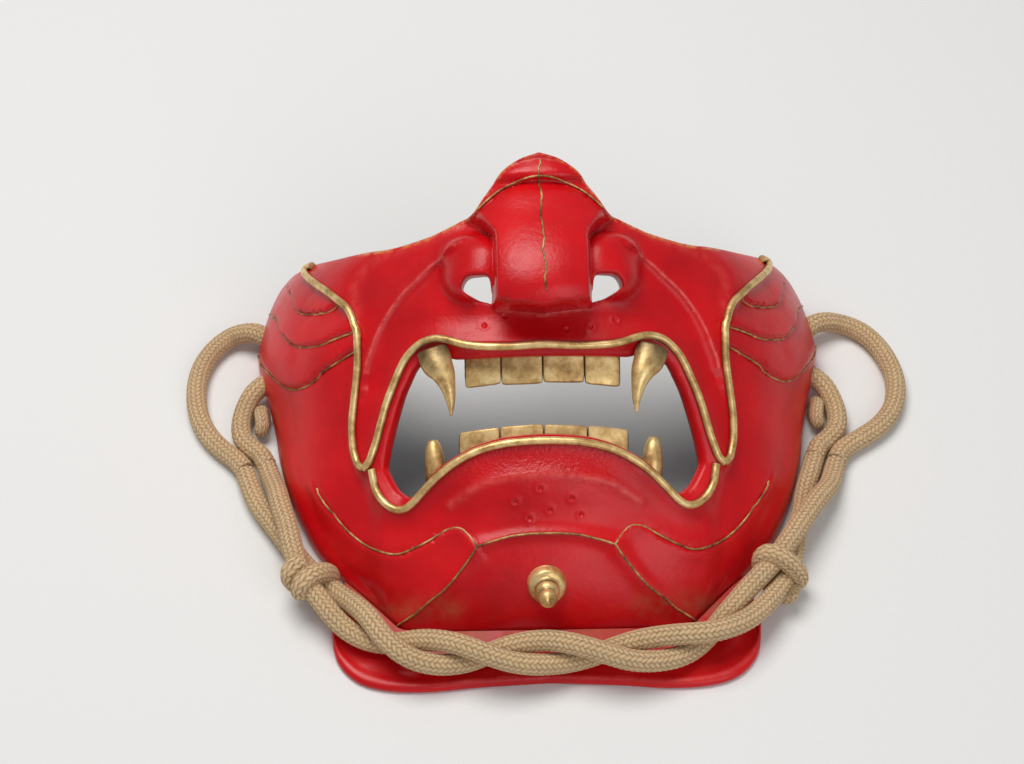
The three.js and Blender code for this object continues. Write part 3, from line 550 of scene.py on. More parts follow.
ARC = 72.0
ear_top = 45.0
for _ in range(14):
    ear_top = (ear_top + float(along(TOP_EDGE, half_at(ear_top) * np.sin(last_angle(ear_top))))) / 2
CHIN_EDGE = -59.0
side_y = np.arange(CHIN_EDGE, ear_top, 0.8)
side_line = np.column_stack([half_at(side_y) * np.sin(last_angle(side_y)), side_y])
top_x = np.linspace(half_at(ear_top) * np.sin(last_angle(ear_top)), 0, 120)
top_line = np.column_stack([top_x, along(TOP_EDGE, top_x)])
right_half = np.vstack([side_line, top_line[:-1]])
chin_x = np.linspace(-side_line[0, 0], side_line[0, 0], 100)[1:-1]
chin_line = np.column_stack([chin_x, np.full(len(chin_x), CHIN_EDGE)])
outline = np.vstack([right_half, top_line[-1:], right_half[::-1] * (-1, 1), chin_line])
mouth_loop = rounded_line(MOUTH + mirrored(MOUTH)[1:-1], 0.8, closed=True)
nostril_loop = rounded_line(NOSTRIL, 0.6, closed=True)
loops = [outline, mouth_loop, nostril_loop, nostril_loop[::-1] * (-1, 1)]


def unrolled(points):
    """The wall's own flat plane: arc across, height."""
    points = np.asarray(points, float)
    return np.column_stack([angle_of(points[:, 0], points[:, 1]) * ARC, points[:, 1]])


fold_half = [(x, to_fold(x)) for x in (0, 5, 10, 14, FOLD_HALF + 0.5)]
nose_fold = rounded_line(mirrored(fold_half)[:-1] + fold_half, 0.7)
flat_loops = [unrolled(loop) for loop in loops]
chains = [unrolled(line * (mirror, 1)) for line in (*fine_plates, fine["cheek_fold"]) for mirror in (1, -1)]
held = [np.vstack(flat_loops + chains)]
for line, offsets in [
    *[(plate, (-0.5, 0.45, 0.95)) for plate in fine_plates],
    (fine["cheek_fold"], (-1.3, -0.5, 0.5)), (fine["lip_fold"], (-0.8, 0, 0.8)),
    (nose_fold, (-0.5, -0.05, 0.4)), (nose_fold + (0, SECOND_FOLD), (-0.5, -0.05, 0.4)),
    (fine["chin_panel"], (-0.8, 0, 0.8)), (fine["jaw_seam"], (-0.6, 0, 0.6)),
    (fine["chin_seam"], (-0.6, 0, 0.6)),
]:
    run = unit(np.gradient(line, axis=0))
    across = np.column_stack([run[:, 1], -run[:, 0]])
    for offset in offsets:
        for mirror in (1, -1):
            held.append(unrolled((line + across * offset) * (mirror, 1)))
for px, py in CHIN_PORES + LIP_PORES:
    for ring, count in ((0.02, 1), (0.4, 6), (0.8, 11), (1.2, 15), (1.7, 16)):
        turn = full_turn(count)
        held.append(unrolled(np.column_stack([px + ring * np.cos(turn), py + ring * np.sin(turn)])))
nose_columns = np.concatenate([
    np.arange(0, 12, 0.85), [12.3, 12.75, 13.15, 13.55, 13.95, 14.4, 14.95], np.arange(15.6, 31, 0.8),
])
face_rows = np.concatenate([
    np.arange(CHIN_EDGE + 1, 29, 1.0), [29.3, 29.55, 29.8, 30.05, 30.3, 30.6], np.arange(31.3, 76, 0.75),
])
grid = []
for i, y in enumerate(face_rows):
    widen = BRIDGE_WIDER * bridge_at(y) / NOSE_HALF
    x = nose_columns * (1 + widen * (1 - smooth((nose_columns - 15) / 18)))
    start = float(angle_of(x[-1], y)) * ARC
    beyond = np.arange(start + 1.0 + 0.5 * (i % 2), 118, 1.05)
    arcs = np.concatenate([angle_of(x[x < half_at(y) - 3], y) * ARC, beyond])
    arcs = np.concatenate([-arcs[1:][::-1], arcs])
    grid.append(np.column_stack([arcs, np.full(len(arcs), y)]))
grid = np.vstack(grid)


def finder(points):
    """A tree that finds the nearest of some points."""
    made = KDTree(len(points))
    for i, place in enumerate(points):
        made.insert(place, i)
    made.balance()
    return made


def spaced(candidates, kept, gap):
    """The candidates that stand at least a gap away from every kept point."""
    near = finder([(x, y, 0) for x, y in kept])
    return candidates[[near.find((x, y, 0))[2] > gap for x, y in candidates]]


points = held[0]
for extra in held[1:]:
    points = np.vstack([points, spaced(extra, points, 0.3)])
points = np.vstack([points, spaced(grid, points, 0.46)])
edges = []
start = 0
for loop in flat_loops:
    count = len(loop)
    edges += [(start + i, start + (i + 1) % count) for i in range(count)]
    start += count
for chain in chains:
    edges += [(start + i, start + i + 1) for i in range(len(chain) - 1)]
    start += len(chain)
flat, _, faces, *_ = delaunay_2d_cdt([Vector(p) for p in points], edges, [], 0, 1e-5)
flat = np.array([tuple(p) for p in flat])
faces = np.array([f for f in faces if len(f) == 3])
middle = flat[faces].mean(axis=1)
wanted = in_loop(flat_loops[0], *middle.T)
for loop in flat_loops[1:]:
    wanted &= ~in_loop(loop, *middle.T)
faces = faces[wanted]
used = np.unique(faces)
renumber = np.full(len(flat), -1)
renumber[used] = np.arange(len(used))
flat, faces = flat[used], renumber[faces]
skin_y = flat[:, 1]
skin_angle = flat[:, 0] / ARC
skin_x = half_at(skin_y) * np.sin(skin_angle)
outer = shell_point(skin_x, skin_y)
inner = shell_point((half_at(skin_y) - WALL) * np.sin(skin_angle), skin_y, inner=True)

directed = np.vstack([faces[:, [0, 1]], faces[:, [1, 2]], faces[:, [2, 0]]])
_, first, counts = np.unique(np.sort(directed, axis=1), axis=0, return_index=True, return_counts=True)
rim_edges = directed[first[counts == 1]]
along_rim = np.zeros_like(outer)
for a, b in rim_edges:
    run = outer[b] - outer[a]
    along_rim[a] += run
    along_rim[b] += run
rim = np.unique(rim_edges)
through = inner[rim] - outer[rim]
outward = np.cross(through, along_rim[rim])
outward /= np.maximum(1e-9, np.linalg.norm(outward, axis=1))[:, None]
EDGE_BULGE = ((0.2, 0.38), (0.5, 0.55), (0.8, 0.38))
rings = [outer[rim] + through * part + outward * bulge for part, bulge in EDGE_BULGE]
count = len(outer)
ring_at = np.full((3, count), -1)
for k in range(3):
    ring_at[k, rim] = 2 * count + k * len(rim) + np.arange(len(rim))
levels = [np.arange(count), *ring_at, np.arange(count) + count]
shell_faces = faces.tolist() + (faces[:, ::-1] + count).tolist()
for high, low in zip(levels, levels[1:]):
    shell_faces += [(high[b], high[a], low[a], low[b]) for a, b in rim_edges]
everything = np.vstack([outer, inner, *rings])

RED = (0.62, 0.002, 0.006)
lacquer, tree, shader = finish_of("red_lacquer_finish", RED, 0.36, Specular_IOR_Level=0.35)
cloudy = ramp(tree, speckle(tree, 38.0, 5.0), [
    (0.3, (0.46, 0.001, 0.004)), (0.55, RED), (0.75, (0.72, 0.006, 0.008))])
# Painted highlight: a pale pink mixed into the red on the crests of the folds, where the stored crest numbers
# are high.
crest_highlight = flecked(tree, "crest", speckle(tree, 420.0, 3.0), [(0.35, 0.25), (0.6, 1.0)])
lit = mixed(tree, crest_highlight, cloudy, (0.80, 0.14, 0.12))
# Brown wear along the shell's rear and chin edges, and painted shade on the flange's root below the chin,
# darken the red and make it rougher.
worn_and_shaded = flecked(tree, "wear_and_shade", speckle(tree, 150.0, 6.0, 0.7), [(0.36, 0.0), (0.62, 0.8)])
aged_and_shaded = mixed(tree, worn_and_shaded, lit, (0.34, 0.09, 0.035))
gilded = flecked(tree, "gilt", speckle(tree, 300.0, 4.0, 0.7), [(0.40, 0.0), (0.56, 1.0)])
topped = mixed(tree, gilded, aged_and_shaded, (0.74, 0.44, 0.13))
lined = mixed(tree, carved(tree, "inside"), topped, (0.006, 0.006, 0.007))
tree.links.new(lined, shader.inputs["Base Color"])
rough = ramp(tree, speckle(tree, 90.0, 5.0), [(0.3, 0.26), (0.7, 0.42)])
tree.links.new(reckon(tree, "MULTIPLY_ADD", worn_and_shaded, 0.35, rough), shader.inputs["Roughness"])
peel = bumped(tree, shader, speckle(tree, 520.0, 2.0), 0.00007)
grained = reckon(tree, "MULTIPLY", speckle(tree, 900.0, 2.0), carved(tree, "grain"))
bumped(tree, shader, grained, 0.00028, under=peel)

laid = to_row(everything)
laid[:, 2] = np.maximum(laid[:, 2], 0)
shell = made_piece("shell_lacquered", laid, shell_faces, lacquer, "mask_shell")
side_x = np.abs(skin_x)
# Painted highlight: thin pale lines along the cheek fold, the lip fold, the foot of the nose and the eye
# fold.
crest = 0.7 * bell(to_line(fine["cheek_fold"], side_x, skin_y)[0], 0.3)
crest += 0.4 * bell(to_line(fine["lip_fold"], side_x, skin_y)[0], 1.0)
nose_foot = NOSE_FOOT - 0.4 + NOSE_FOOT_RISE * side_x / NOSE_HALF
crest += 0.45 * bell(skin_y - nose_foot, 0.4) * (side_x < NOSE_HALF)
crest += 0.2 * bell(to_line(fine["eye_fold"], side_x, skin_y)[0], 1.4)
to_rear = (last_angle(skin_y) - np.abs(skin_angle)) * half_at(skin_y)
to_chin = skin_y - CHIN_EDGE
rear_wear = bell(to_rear - 6, 4) * smooth((6 - skin_y) / 8)
chin_wear = bell(to_chin - 6, 3.5) * smooth((side_x - 20) / 8)
wear_and_shade = 0.8 * np.maximum(rear_wear, chin_wear)
to_top = along(TOP_EDGE, np.minimum(side_x, 80)) - skin_y
gilt = bell(to_top, 0.5) * (side_x < 52) * 0.6
grain = bell(skin_y + 12, 6) * (side_x < 38) + 0.25 * (skin_y > 25) * (side_x < 30)
dull = np.zeros(len(everything) - 2 * count)
for name, values in (("crest", crest), ("wear_and_shade", wear_and_shade), ("gilt", gilt), ("grain", grain)):
    store(shell, name, np.concatenate([values, np.zeros(count), dull]))
store(shell, "inside", np.concatenate([np.zeros(count), np.ones(count), dull]))

# Shut lines and cracks
# Thin lines where the folds of the cheek, jaw and nose overlap, and a split down the nose, each filled
# with dark gilding that has worn through in places. They lie in the lacquer, 0.6 mm wide.
LINE_HALF = 0.3
LINE_HIGH = 0.3
LINE_LIFT = 0.16
CRACK_LIFT = 0.1
NOSE_CRACK = [
    (0.2, 73), (-0.3, 68), (0.3, 62), (-0.1, 56), (0.5, 50), (0.2, 45), (0.9, 41), (0.5, 38), (0.8, 34),
]
CREASES = [*CHEEK_PLATES, JAW_SEAM, CHIN_SEAM, CHIN_PANEL]


def above(x, y, lift):
    """Points at a height over the shell's outer face, with the way up from it there."""
    x, y = np.asarray(x, float), np.asarray(y, float)
    step = 0.5
    across = shell_point(x + step, y) - shell_point(x - step, y)
    up = shell_point(x, y + step) - shell_point(x, y - step)
    normal = unit(np.cross(across, up))
    return shell_point(x, y) + normal * np.asarray(lift).reshape(-1, 1), normal


def swept(path, normal, wide, high, sides):
    """A rounded strip along a path: its points and faces, with closed ends."""
    path = np.asarray(path, float)
    run = unit(np.gradient(path, axis=0))
    across = unit(np.cross(run, normal))
    up = np.cross(across, run)
    wide = np.broadcast_to(wide, len(path))[:, None, None]
    high = np.broadcast_to(high, len(path))[:, None, None]
    turn = full_turn(sides)
    ring = across[:, None] * np.cos(turn)[None, :, None] * wide
    ring += up[:, None] * np.sin(turn)[None, :, None] * high
    points = (path[:, None] + ring).reshape(-1, 3)
    faces = []
    for i in range(len(path) - 1):
        for j in range(sides):
            k = (j + 1) % sides
            faces.append((i * sides + j, i * sides + k, (i + 1) * sides + k, (i + 1) * sides + j))
    faces.append(tuple(range(sides))[::-1])
    end = (len(path) - 1) * sides
    faces.append(tuple(range(end, end + sides)))
    return points, faces


def joined(parts):
    """Several lists of points and faces as one."""
    points, faces = [], []
    start = 0
    for part_points, part_faces in parts:
        points.append(part_points)
        faces += [tuple(i + start for i in face) for face in part_faces]
        start += len(part_points)
    return np.vstack(points), faces


path_tree = bpy.data.node_groups.new("strip_along_path", "GeometryNodeTree")
for label, kind in (
    ("Path", "NodeSocketGeometry"), ("Half width", "NodeSocketFloat"), ("Half height", "NodeSocketFloat"),
    ("Sides", "NodeSocketInt"), ("Finish", "NodeSocketMaterial"),
):
    path_tree.interface.new_socket(label, in_out="INPUT", socket_type=kind)
path_tree.interface.new_socket("Strip", in_out="OUTPUT", socket_type="NodeSocketGeometry")
given = add_node(path_tree, "NodeGroupInput")
to_curve = add_node(path_tree, "GeometryNodeMeshToCurve")
size_here = add_node(path_tree, "GeometryNodeInputNamedAttribute", {"Name": "size"}, data_type="FLOAT")
up_here = add_node(path_tree, "GeometryNodeInputNamedAttribute", {"Name": "up"}, data_type="FLOAT_VECTOR")
sized = add_node(path_tree, "GeometryNodeSetCurveRadius")
upright = add_node(path_tree, "GeometryNodeSetCurveNormal", mode="FREE")
circle = add_node(path_tree, "GeometryNodeCurvePrimitiveCircle", {"Radius": 1.0})
section_size = add_node(path_tree, "ShaderNodeCombineXYZ", {"Z": 1.0})
section = add_node(path_tree, "GeometryNodeTransform")
strip = add_node(path_tree, "GeometryNodeCurveToMesh", {"Fill Caps": True})
realized = add_node(path_tree, "GeometryNodeRealizeInstances")
finished = add_node(path_tree, "GeometryNodeSetMaterial")
result = add_node(path_tree, "NodeGroupOutput")
for source, socket, target, slot in (
    (given, "Path", to_curve, "Mesh"), (to_curve, "Curve", sized, "Curve"),
    (size_here, "Attribute", sized, "Radius"), (sized, "Curve", upright, "Curve"),
    (up_here, "Attribute", upright, "Normal"), (upright, "Curve", strip, "Curve"),
    (given, "Sides", circle, "Resolution"), (circle, "Curve", section, "Geometry"),
    (given, "Half height", section_size, "X"), (given, "Half width", section_size, "Y"),
    (section_size, "Vector", section, "Scale"), (section, "Geometry", strip, "Profile Curve"),
    (strip, "Mesh", realized, "Geometry"), (realized, "Geometry", finished, "Geometry"),
    (given, "Finish", finished, "Material"), (finished, "Geometry", result, "Strip"),
):
    path_tree.links.new(source.outputs[socket], target.inputs[slot])


def in_row(paths):
    """The points and the ways up of several paths, in the row frame."""
    places = np.vstack([to_row(place) for place, _, _ in paths])
    ups = np.vstack([to_row(up) - to_row(np.zeros((1, 3))) for _, up, _ in paths]) * 1000
    return places, ups


def strip_piece(name, paths, wide, high, sides, finish, node=None):
    """A piece made of round-edged strips, one along each path of points, ways up and sizes."""
    places, ups = in_row(paths)
    ends = np.cumsum([len(place) for place, _, _ in paths])
    edges = [(i, i + 1) for i in range(len(places) - 1) if i + 1 not in ends]
    guide = bpy.data.meshes.new(name + "_paths")
    guide.from_pydata([tuple(p) for p in places], edges, [])
    sizes = np.concatenate([size for _, _, size in paths])
    guide.attributes.new("size", "FLOAT", "POINT").data.foreach_set("value", sizes)
    guide.attributes.new("up", "FLOAT_VECTOR", "POINT").data.foreach_set("vector", ups.ravel())
    piece = bpy.data.objects.new(name, guide)
    bpy.context.scene.collection.objects.link(piece)
    modifier = piece.modifiers.new("strip", "NODES")
    modifier.node_group = path_tree
    chosen = {"Half width": wide / 1000, "Half height": high / 1000, "Sides": sides, "Finish": finish}
    for socket in path_tree.interface.items_tree:
        if socket.name in chosen:
            modifier[socket.identifier] = chosen[socket.name]
    baked = bpy.data.meshes.new_from_object(piece.evaluated_get(bpy.context.evaluated_depsgraph_get()))
    piece.modifiers.clear()
    piece.data = baked
    baked.name = name
    baked.shade_smooth()
    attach(piece, "root")
    if node:
        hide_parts(node)
    return piece


def tapered(count):
    """Sizes along a strip that fall away to nearly nothing at both ends."""
    return np.sqrt(np.sin(np.linspace(0.02, np.pi - 0.02, count)))


strips = []
for line in CREASES:
    for mirror in (1, -1):
        run = rounded_line(line, 0.7) * (mirror, 1)
        place, normal = above(run[:, 0], run[:, 1], LINE_LIFT)
        waver = 0.85 + 0.25 * np.sin(np.arange(len(run)) * 1.7) * np.sin(np.arange(len(run)) * 0.37)
        strips.append((place, normal, tapered(len(run)) * waver))
place, normal = above(nose_fold[:, 0], nose_fold[:, 1], CRACK_LIFT)
strips.append((place, normal, 0.9 * tapered(len(nose_fold))))
run = rounded_line(NOSE_CRACK, 0.6)
place, normal = above(run[:, 0], run[:, 1], CRACK_LIFT)
place[:, 0] += 0.22 * np.sin(run[:, 1] * 1.9) * np.sin(run[:, 1] * 0.6)
reach = np.linspace(0, 1, len(run))
spread = 0.8 + 1.1 * bell(reach - 0.4, 0.14) + 0.4 * np.sin(run[:, 1] * 2.3) * bell(reach - 0.45, 0.3)
strips.append((place, normal, spread * np.minimum(1, 8 * np.minimum(reach, 1 - reach) + 0.05)))
line_gilt, tree, shader = finish_of("worn_line_gilding", (0.3, 0.17, 0.05), 0.5, 0.35)
patchy = ramp(tree, speckle(tree, 240.0, 4.0, 0.7), [
    (0.34, (0.11, 0.045, 0.014)), (0.5, (0.38, 0.20, 0.06)), (0.7, (0.80, 0.54, 0.22))])
tree.links.new(patchy, shader.inputs["Base Color"])
bumped(tree, shader, speckle(tree, 700.0), 0.0001)
strip_piece("shut_lines", strips, LINE_HALF, LINE_HIGH, 8, line_gilt)

# The neck flange
# A flared skirt below the chin that turns out onto the table, one sheet with the jaw's lower edge and
# lacquered with it. It is 2.6 mm thick and thins to a rounded lip.
FLANGE_EDGE = [
    (0, 0, -95.3), (0.3, 20, -96.4), (0.5, 34, -97.6), (0.65, 45, -97), (0.76, 52.5, -94.6),
    (0.86, 57.5, -90), (0.94, 60, -84.5), (1, 61, -76),
]
FLANGE_THICK = 2.6
FLANGE_PROFILE = [(0, 0), (0.45, 0.62), (0.68, 0.8), (0.97, 1)]
CHIN_PART = 0.6
JAW_CLIMB = 13
LIP_FROM = 0.94
stations = np.linspace(-1, 1, 161)
part = np.abs(stations)
low_y = np.where(part < CHIN_PART, CHIN_EDGE, CHIN_EDGE + (part - CHIN_PART) / (1 - CHIN_PART) * JAW_CLIMB)
rim_x = half_at(low_y) * np.sin(last_angle(low_y))
root_x = np.where(part < CHIN_PART, rim_x * part / CHIN_PART, rim_x)
root = to_row(shell_point(root_x, low_y)) * 1000
start_x, start_y = root[:, 0] + 0.5 * part, root[:, 1] - 0.25
top = np.maximum(root[:, 2] - 0.1, FLANGE_THICK + 0.3)
edge_x = along(FLANGE_EDGE, part, 1)
edge_y = along(FLANGE_EDGE, part, 2) + TO_MIDDLE
outs = np.concatenate([np.linspace(0, LIP_FROM, 26), [0.96, 0.975, 0.988, 0.996, 1.0]])
upper, under = [], []
for out in outs:
    drop = along(FLANGE_PROFILE, min(out, 0.97))
    height = top + (FLANGE_THICK - 0.2 - top) * drop + 0.35 * bell(out - 0.9, 0.05)
    lip = math.sqrt(max(0, 1 - max(0, (out - LIP_FROM) / 0.06) ** 2))
    x = np.sign(stations) * (start_x + (edge_x - start_x) * out)
    y = start_y + (edge_y - start_y) * out
    low = np.maximum(0, height - FLANGE_THICK)
    middle = low + (height - low) * 0.45
    upper.append(np.column_stack([x, y, middle + (height - middle) * lip]))
    under.append(np.column_stack([x, y, middle + (low - middle) * lip]))
points = np.vstack([*upper, *under[:-1]])


def row_start(k, below):
    """The first point of row k of the flange, above or below; both sides share the last row."""
    return len(stations) * (k if not below or k == len(outs) - 1 else len(outs) + k)


faces = []
for k in range(len(outs) - 1):
    a, b, c, d = row_start(k, False), row_start(k, True), row_start(k + 1, True), row_start(k + 1, False)
    for i in range(len(stations) - 1):
        faces.append((a + i, d + i, d + i + 1, a + i + 1))
        faces.append((b + i + 1, c + i + 1, c + i, b + i))
    for i, turn in ((0, 1), (len(stations) - 1, -1)):
        cap = list(dict.fromkeys((a + i, b + i, c + i, d + i)))
        faces.append(tuple(cap[::turn]))
top_row, low_row = row_start(0, False), row_start(0, True)
for i in range(len(stations) - 1):
    faces.append((top_row + i, top_row + i + 1, low_row + i + 1, low_row + i))
flange = made_piece("flange_lacquered", points / 1000, faces, lacquer, "neck_flange", sharp=60)
# Painted highlight along the flange's rolled lip.
lip_highlight = np.repeat(0.4 * bell(outs - 0.93, 0.02), len(stations))
# Painted shade on the flange's root, where it meets the chin.
root_shade = np.repeat(0.9 * smooth((0.4 - outs) / 0.3), len(stations))
blank = np.zeros(len(points) - len(lip_highlight))
store(flange, "crest", np.concatenate([lip_highlight, blank]))
store(flange, "wear_and_shade", np.concatenate([root_shade, blank]))
for name in ("gilt", "grain", "inside"):
    store(flange, name, np.zeros(len(points)))

# The gilded beads
# A half-round bead cast along the upper lip, which turns at the mouth's corners and climbs both cheeks
# to the top edge, and another along the lower lip. Both have old gold over a dark ground, with painted shade
# on their undersides against the shell.
BEAD = 1.12
BEAD_LIFT = 0.62
old_gold, tree, shader = finish_of("old_gold", (0.84, 0.59, 0.25), 0.34, 0.6)
shade = ramp(tree, speckle(tree, 190.0, 5.0, 0.65), [
    (0.28, (0.30, 0.17, 0.055)), (0.43, (0.58, 0.36, 0.13)),
    (0.56, (0.84, 0.59, 0.25)), (0.74, (1.0, 0.79, 0.41))])
# Painted shade: the gold darkens to near black on bead undersides, between and behind the teeth, at the
# tusks' roots and in the stud's waists.
dark = mixed(tree, reckon(tree, "MULTIPLY", carved(tree, "recess_shade"), 0.85), shade, (0.05, 0.024, 0.01))
tree.links.new(dark, shader.inputs["Base Color"])
tree.links.new(ramp(tree, speckle(tree, 320.0), [(0.3, 0.5), (0.7, 0.3)]), shader.inputs["Roughness"])
bumped(tree, shader, speckle(tree, 620.0, 3.0), 0.00009)

corner = (50.3, -12.9)
rim_half = UPPER_RIM[:-1] + [(48.7, -11.3)]
lip_line = [(-corner[0], corner[1])] + mirrored(rim_half)[:-1] + rim_half + [corner]
cheek = [corner, (52, -11.8)] + CHEEK_LINE[1:] + [(69.3, 49.2), (67.2, 49.3)]
lower_half = LOWER_RIM[:-2] + [(47.2, -17.8), (47.9, -15), (48.3, -13)]
for name, node, lines in (
    ("upper_lip_bead", "upper_rim_trim", [lip_line, cheek, [(-x, y) for x, y in cheek]]),
    ("lower_lip_bead", "lower_rim_trim", [mirrored(lower_half)[:-1] + lower_half]),
):
    paths = []
    for line in lines:
        run = rounded_line(line, 0.8)
        place, normal = above(run[:, 0], run[:, 1], BEAD_LIFT)
        for _ in range(2):
            place[1:-1] = (place[:-2] + 2 * place[1:-1] + place[2:]) / 4
        ends = np.minimum(np.arange(len(run)), np.arange(len(run))[::-1])
        paths.append((place, normal, np.sqrt(np.minimum(1, (ends + 0.5) / 3))))
    piece = strip_piece(name, paths, BEAD, BEAD, 14, old_gold, node)
    centres, ups = in_row(paths)
    near = finder(centres)
    # How far each point of the bead lies from its top; the underside against the shell gets painted shade.
    depth = []
    for vertex in piece.data.vertices:
        place, i, away = near.find(vertex.co)
        depth.append(float(np.dot(vertex.co - place, ups[i])) / max(away, 1e-6))
    store(piece, "recess_shade", smooth((0.5 - np.array(depth)) / 0.9))

# The teeth
# Two rows of four square cast teeth on a backing strip behind the lips, gilded, with painted shade in the
# grooves between them and on the backing. The rows are bent to the shell's inner face and fixed to it.
TOOTH_DEPTH = 3.6
BACKING = 1.4
BACKING_SHORT = 1.6
SEAT_GAP = 0.3
TOOTH_GAP_HALF = 0.03


def pillow(left, right, root, tip_left, tip_right, back, front, cuts=9):
    """A rounded block: a box of many faces pushed towards an oval, so its edges are soft."""
    points, faces = [], []
    side = np.sin(np.linspace(-np.pi / 2, np.pi / 2, cuts))
    for axis in range(3):
        for end in (-1, 1):
            start = len(points)
            for u in side:
                for v in side:
                    p = np.zeros(3)
                    p[axis], p[(axis + 1) % 3], p[(axis + 2) % 3] = end, u, v
                    size = (abs(p) ** 12).sum() ** (1 / 12)
                    points.append(p / size)
            for i in range(cuts - 1):
                for j in range(cuts - 1):
                    a = start + i * cuts + j
                    quad = (a, a + cuts, a + cuts + 1, a + 1)
                    faces.append(quad if end > 0 else quad[::-1])
    p = np.array(points)
    x = left + (right - left) * (p[:, 0] + 1) / 2
    tip = tip_left + (tip_right - tip_left) * (p[:, 0] + 1) / 2
    up = (p[:, 1] + 1) / 2
    y = tip + (root - tip) * up if root > tip_left else root + (tip - root) * up
    z = back + (front - back) * (p[:, 2] + 1) / 2
    return np.column_stack([x, y, z]), faces


def tooth_row(name, node, edges, root, tips, seat_y):
    """A row of teeth between edges across, from the root's height to the tips', on its backing."""
    parts, depth = [], []
    down = 1 if root > tips[0] else -1
    for i, (left, right) in enumerate(zip(edges, edges[1:])):
        uneven = 0.18 * math.sin(3.1 * i + seat_y)
        sides = (left + TOOTH_GAP_HALF, right - TOOTH_GAP_HALF)
        cut = (tips[i] + uneven, tips[i + 1] + uneven)
        tooth = pillow(*sides, root, *cut, 0.6, TOOTH_DEPTH + uneven)
        parts.append(tooth)
        # Painted shade at the sides of each tooth and near its root; the backing behind the teeth is shaded
        # all over.
        across = np.abs(tooth[0][:, 0] - (left + right) / 2) / ((right - left) / 2)
        level = smooth((across - 0.93) / 0.06) + 0.5 * smooth(1 - np.abs(tooth[0][:, 1] - root) / 2.2)
        depth.append(np.clip(level, 0, 1))
        cut = (tips[i] + down * BACKING_SHORT, tips[i + 1] + down * BACKING_SHORT)
        back = pillow(left - 0.1, right + 0.1, root, *cut, 0, BACKING, 5)
        parts.append(back)
        depth.append(np.ones(len(back[0])))
    points, faces = joined(parts)
    wall = shell_point(points[:, 0], np.full(len(points), seat_y), inner=True)[:, 2]
    points[:, 2] += wall - SEAT_GAP - TOOTH_DEPTH
    piece = made_piece(name, to_row(points), faces, old_gold, node, sharp=50)
    store(piece, "recess_shade", np.concatenate(depth))


tooth_row("upper_tooth_row", "upper_teeth", [-22, -11.8, 0, 11.8, 22], 23.5, [9, 10, 10.2, 10, 9], 20)
tooth_row("lower_tooth_row", "lower_teeth", [-24, -12.4, 0, 12.4, 24], -12, [-3.2, -2, -1.4, -2, -3.2], -9)

# The fangs
# Four curved tusks, one at each end of each row of teeth, cast solid and gilded, with painted shade at the
# root.
UPPER_FANG = [
    (31, 19.6, 61.2, 4.6, 3), (29.8, 16, 61.8, 4.5, 3), (28, 12.8, 62.2, 3.4, 2.7),
    (26.8, 9.2, 62.6, 2.2, 2.1), (26.1, 5.2, 62.8, 1.3, 1.3), (26, 1, 62.8, 0.3, 0.3),
]
LOWER_FANG = [
    (30.4, -19.5, 50.6, 3.2, 2.9), (30.7, -13.5, 51.8, 3.1, 2.8), (31, -10, 52.2, 2.8, 2.5),
    (31.2, -7.2, 52.5, 2.2, 2), (31.4, -5.3, 52.6, 1.3, 1.2),
]
FANG_SIDES = 24
for kind, rows in (("upper", UPPER_FANG), ("lower", LOWER_FANG)):
    for name, mirror in (("left", -1), ("right", 1)):
        run = rounded_line(rows, 0.6)
        run[:, 0] *= mirror
        bow = 0.8 * np.sin(np.linspace(0, np.pi, len(run)))
        normal = np.tile([0.0, 0.0, 1.0], (len(run), 1))
        place = run[:, :3] + np.outer(bow, (0, 0, 1))
        wide, high = np.maximum(run[:, 3:], 0.12).T
        points, faces = swept(place, normal, wide, high, FANG_SIDES)
        node = f"{kind}_fang_{name}"
        piece = made_piece(f"{kind}_tusk_{name}", to_row(points), faces, old_gold, node)
        # Painted shade at the tusk's root.
        reach = np.repeat(np.linspace(0, 1, len(run)), FANG_SIDES)
        store(piece, "recess_shade", smooth((0.42 - reach) / 0.4) * 0.9)

# The chin stud
# A turned brass stud with a dished base, a collar and a ball end, riveted to the chin.
STUD_TILT = math.radians(24)
STUD_Y = -46.5
STUD_PROFILE = [
    (0, -1.2), (5.2, -1.2), (5.45, 0.2), (5.4, 1.2), (4.9, 2.2), (3.7, 2.7), (3.3, 3.2), (2.9, 4.2),
    (3.3, 4.8), (3.35, 5.5), (2.9, 6.4), (2.1, 7.1), (2.0, 7.6), (2.5, 8.4), (2.65, 9.4), (2.3, 10.5),
    (1.5, 11.3), (0.9, 11.8), (0.7, 12.2), (0, 12.6),
]
stud_line = rounded_line(STUD_PROFILE, 0.28)
stud_line[:, 0] = np.maximum(stud_line[:, 0], 0)
around = 48
turn = full_turn(around)
radius, height = stud_line[1:-1, 0][:, None], stud_line[1:-1, 1]
level = np.broadcast_to(height[:, None], (len(radius), around))
ring = np.stack([radius * np.cos(turn), radius * np.sin(turn), level], axis=-1)
points = np.vstack([[[0, 0, stud_line[0, 1]]], ring.reshape(-1, 3), [[0, 0, stud_line[-1, 1]]]])
faces = [(0, 1 + (j + 1) % around, 1 + j) for j in range(around)]
for i in range(len(radius) - 1):
    for j in range(around):
        k = (j + 1) % around
        a, b = 1 + i * around, 1 + (i + 1) * around
        faces.append((a + j, a + k, b + k, b + j))
tip = len(points) - 1
faces += [(tip, tip - around + j, tip - around + (j + 1) % around) for j in range(around)]
lean = np.array([
    [1, 0, 0], [0, math.cos(STUD_TILT), -math.sin(STUD_TILT)], [0, math.sin(STUD_TILT), math.cos(STUD_TILT)]])
seat = shell_point([0.0], [STUD_Y])[0]
placed = to_row(points @ lean.T + (0, STUD_Y, seat[2]))
stud = made_piece("turned_stud", placed, faces, old_gold, "chin_stud")
# Painted shade in the stud's two waists and at the middle of its base.
waists = bell(height - 3.9, 0.7) + bell(height - 7.4, 0.6)
recess_shade = np.concatenate([[1.0], np.repeat(waists, around), [0.0]])
store(stud, "recess_shade", np.clip(recess_shade, 0, 1))

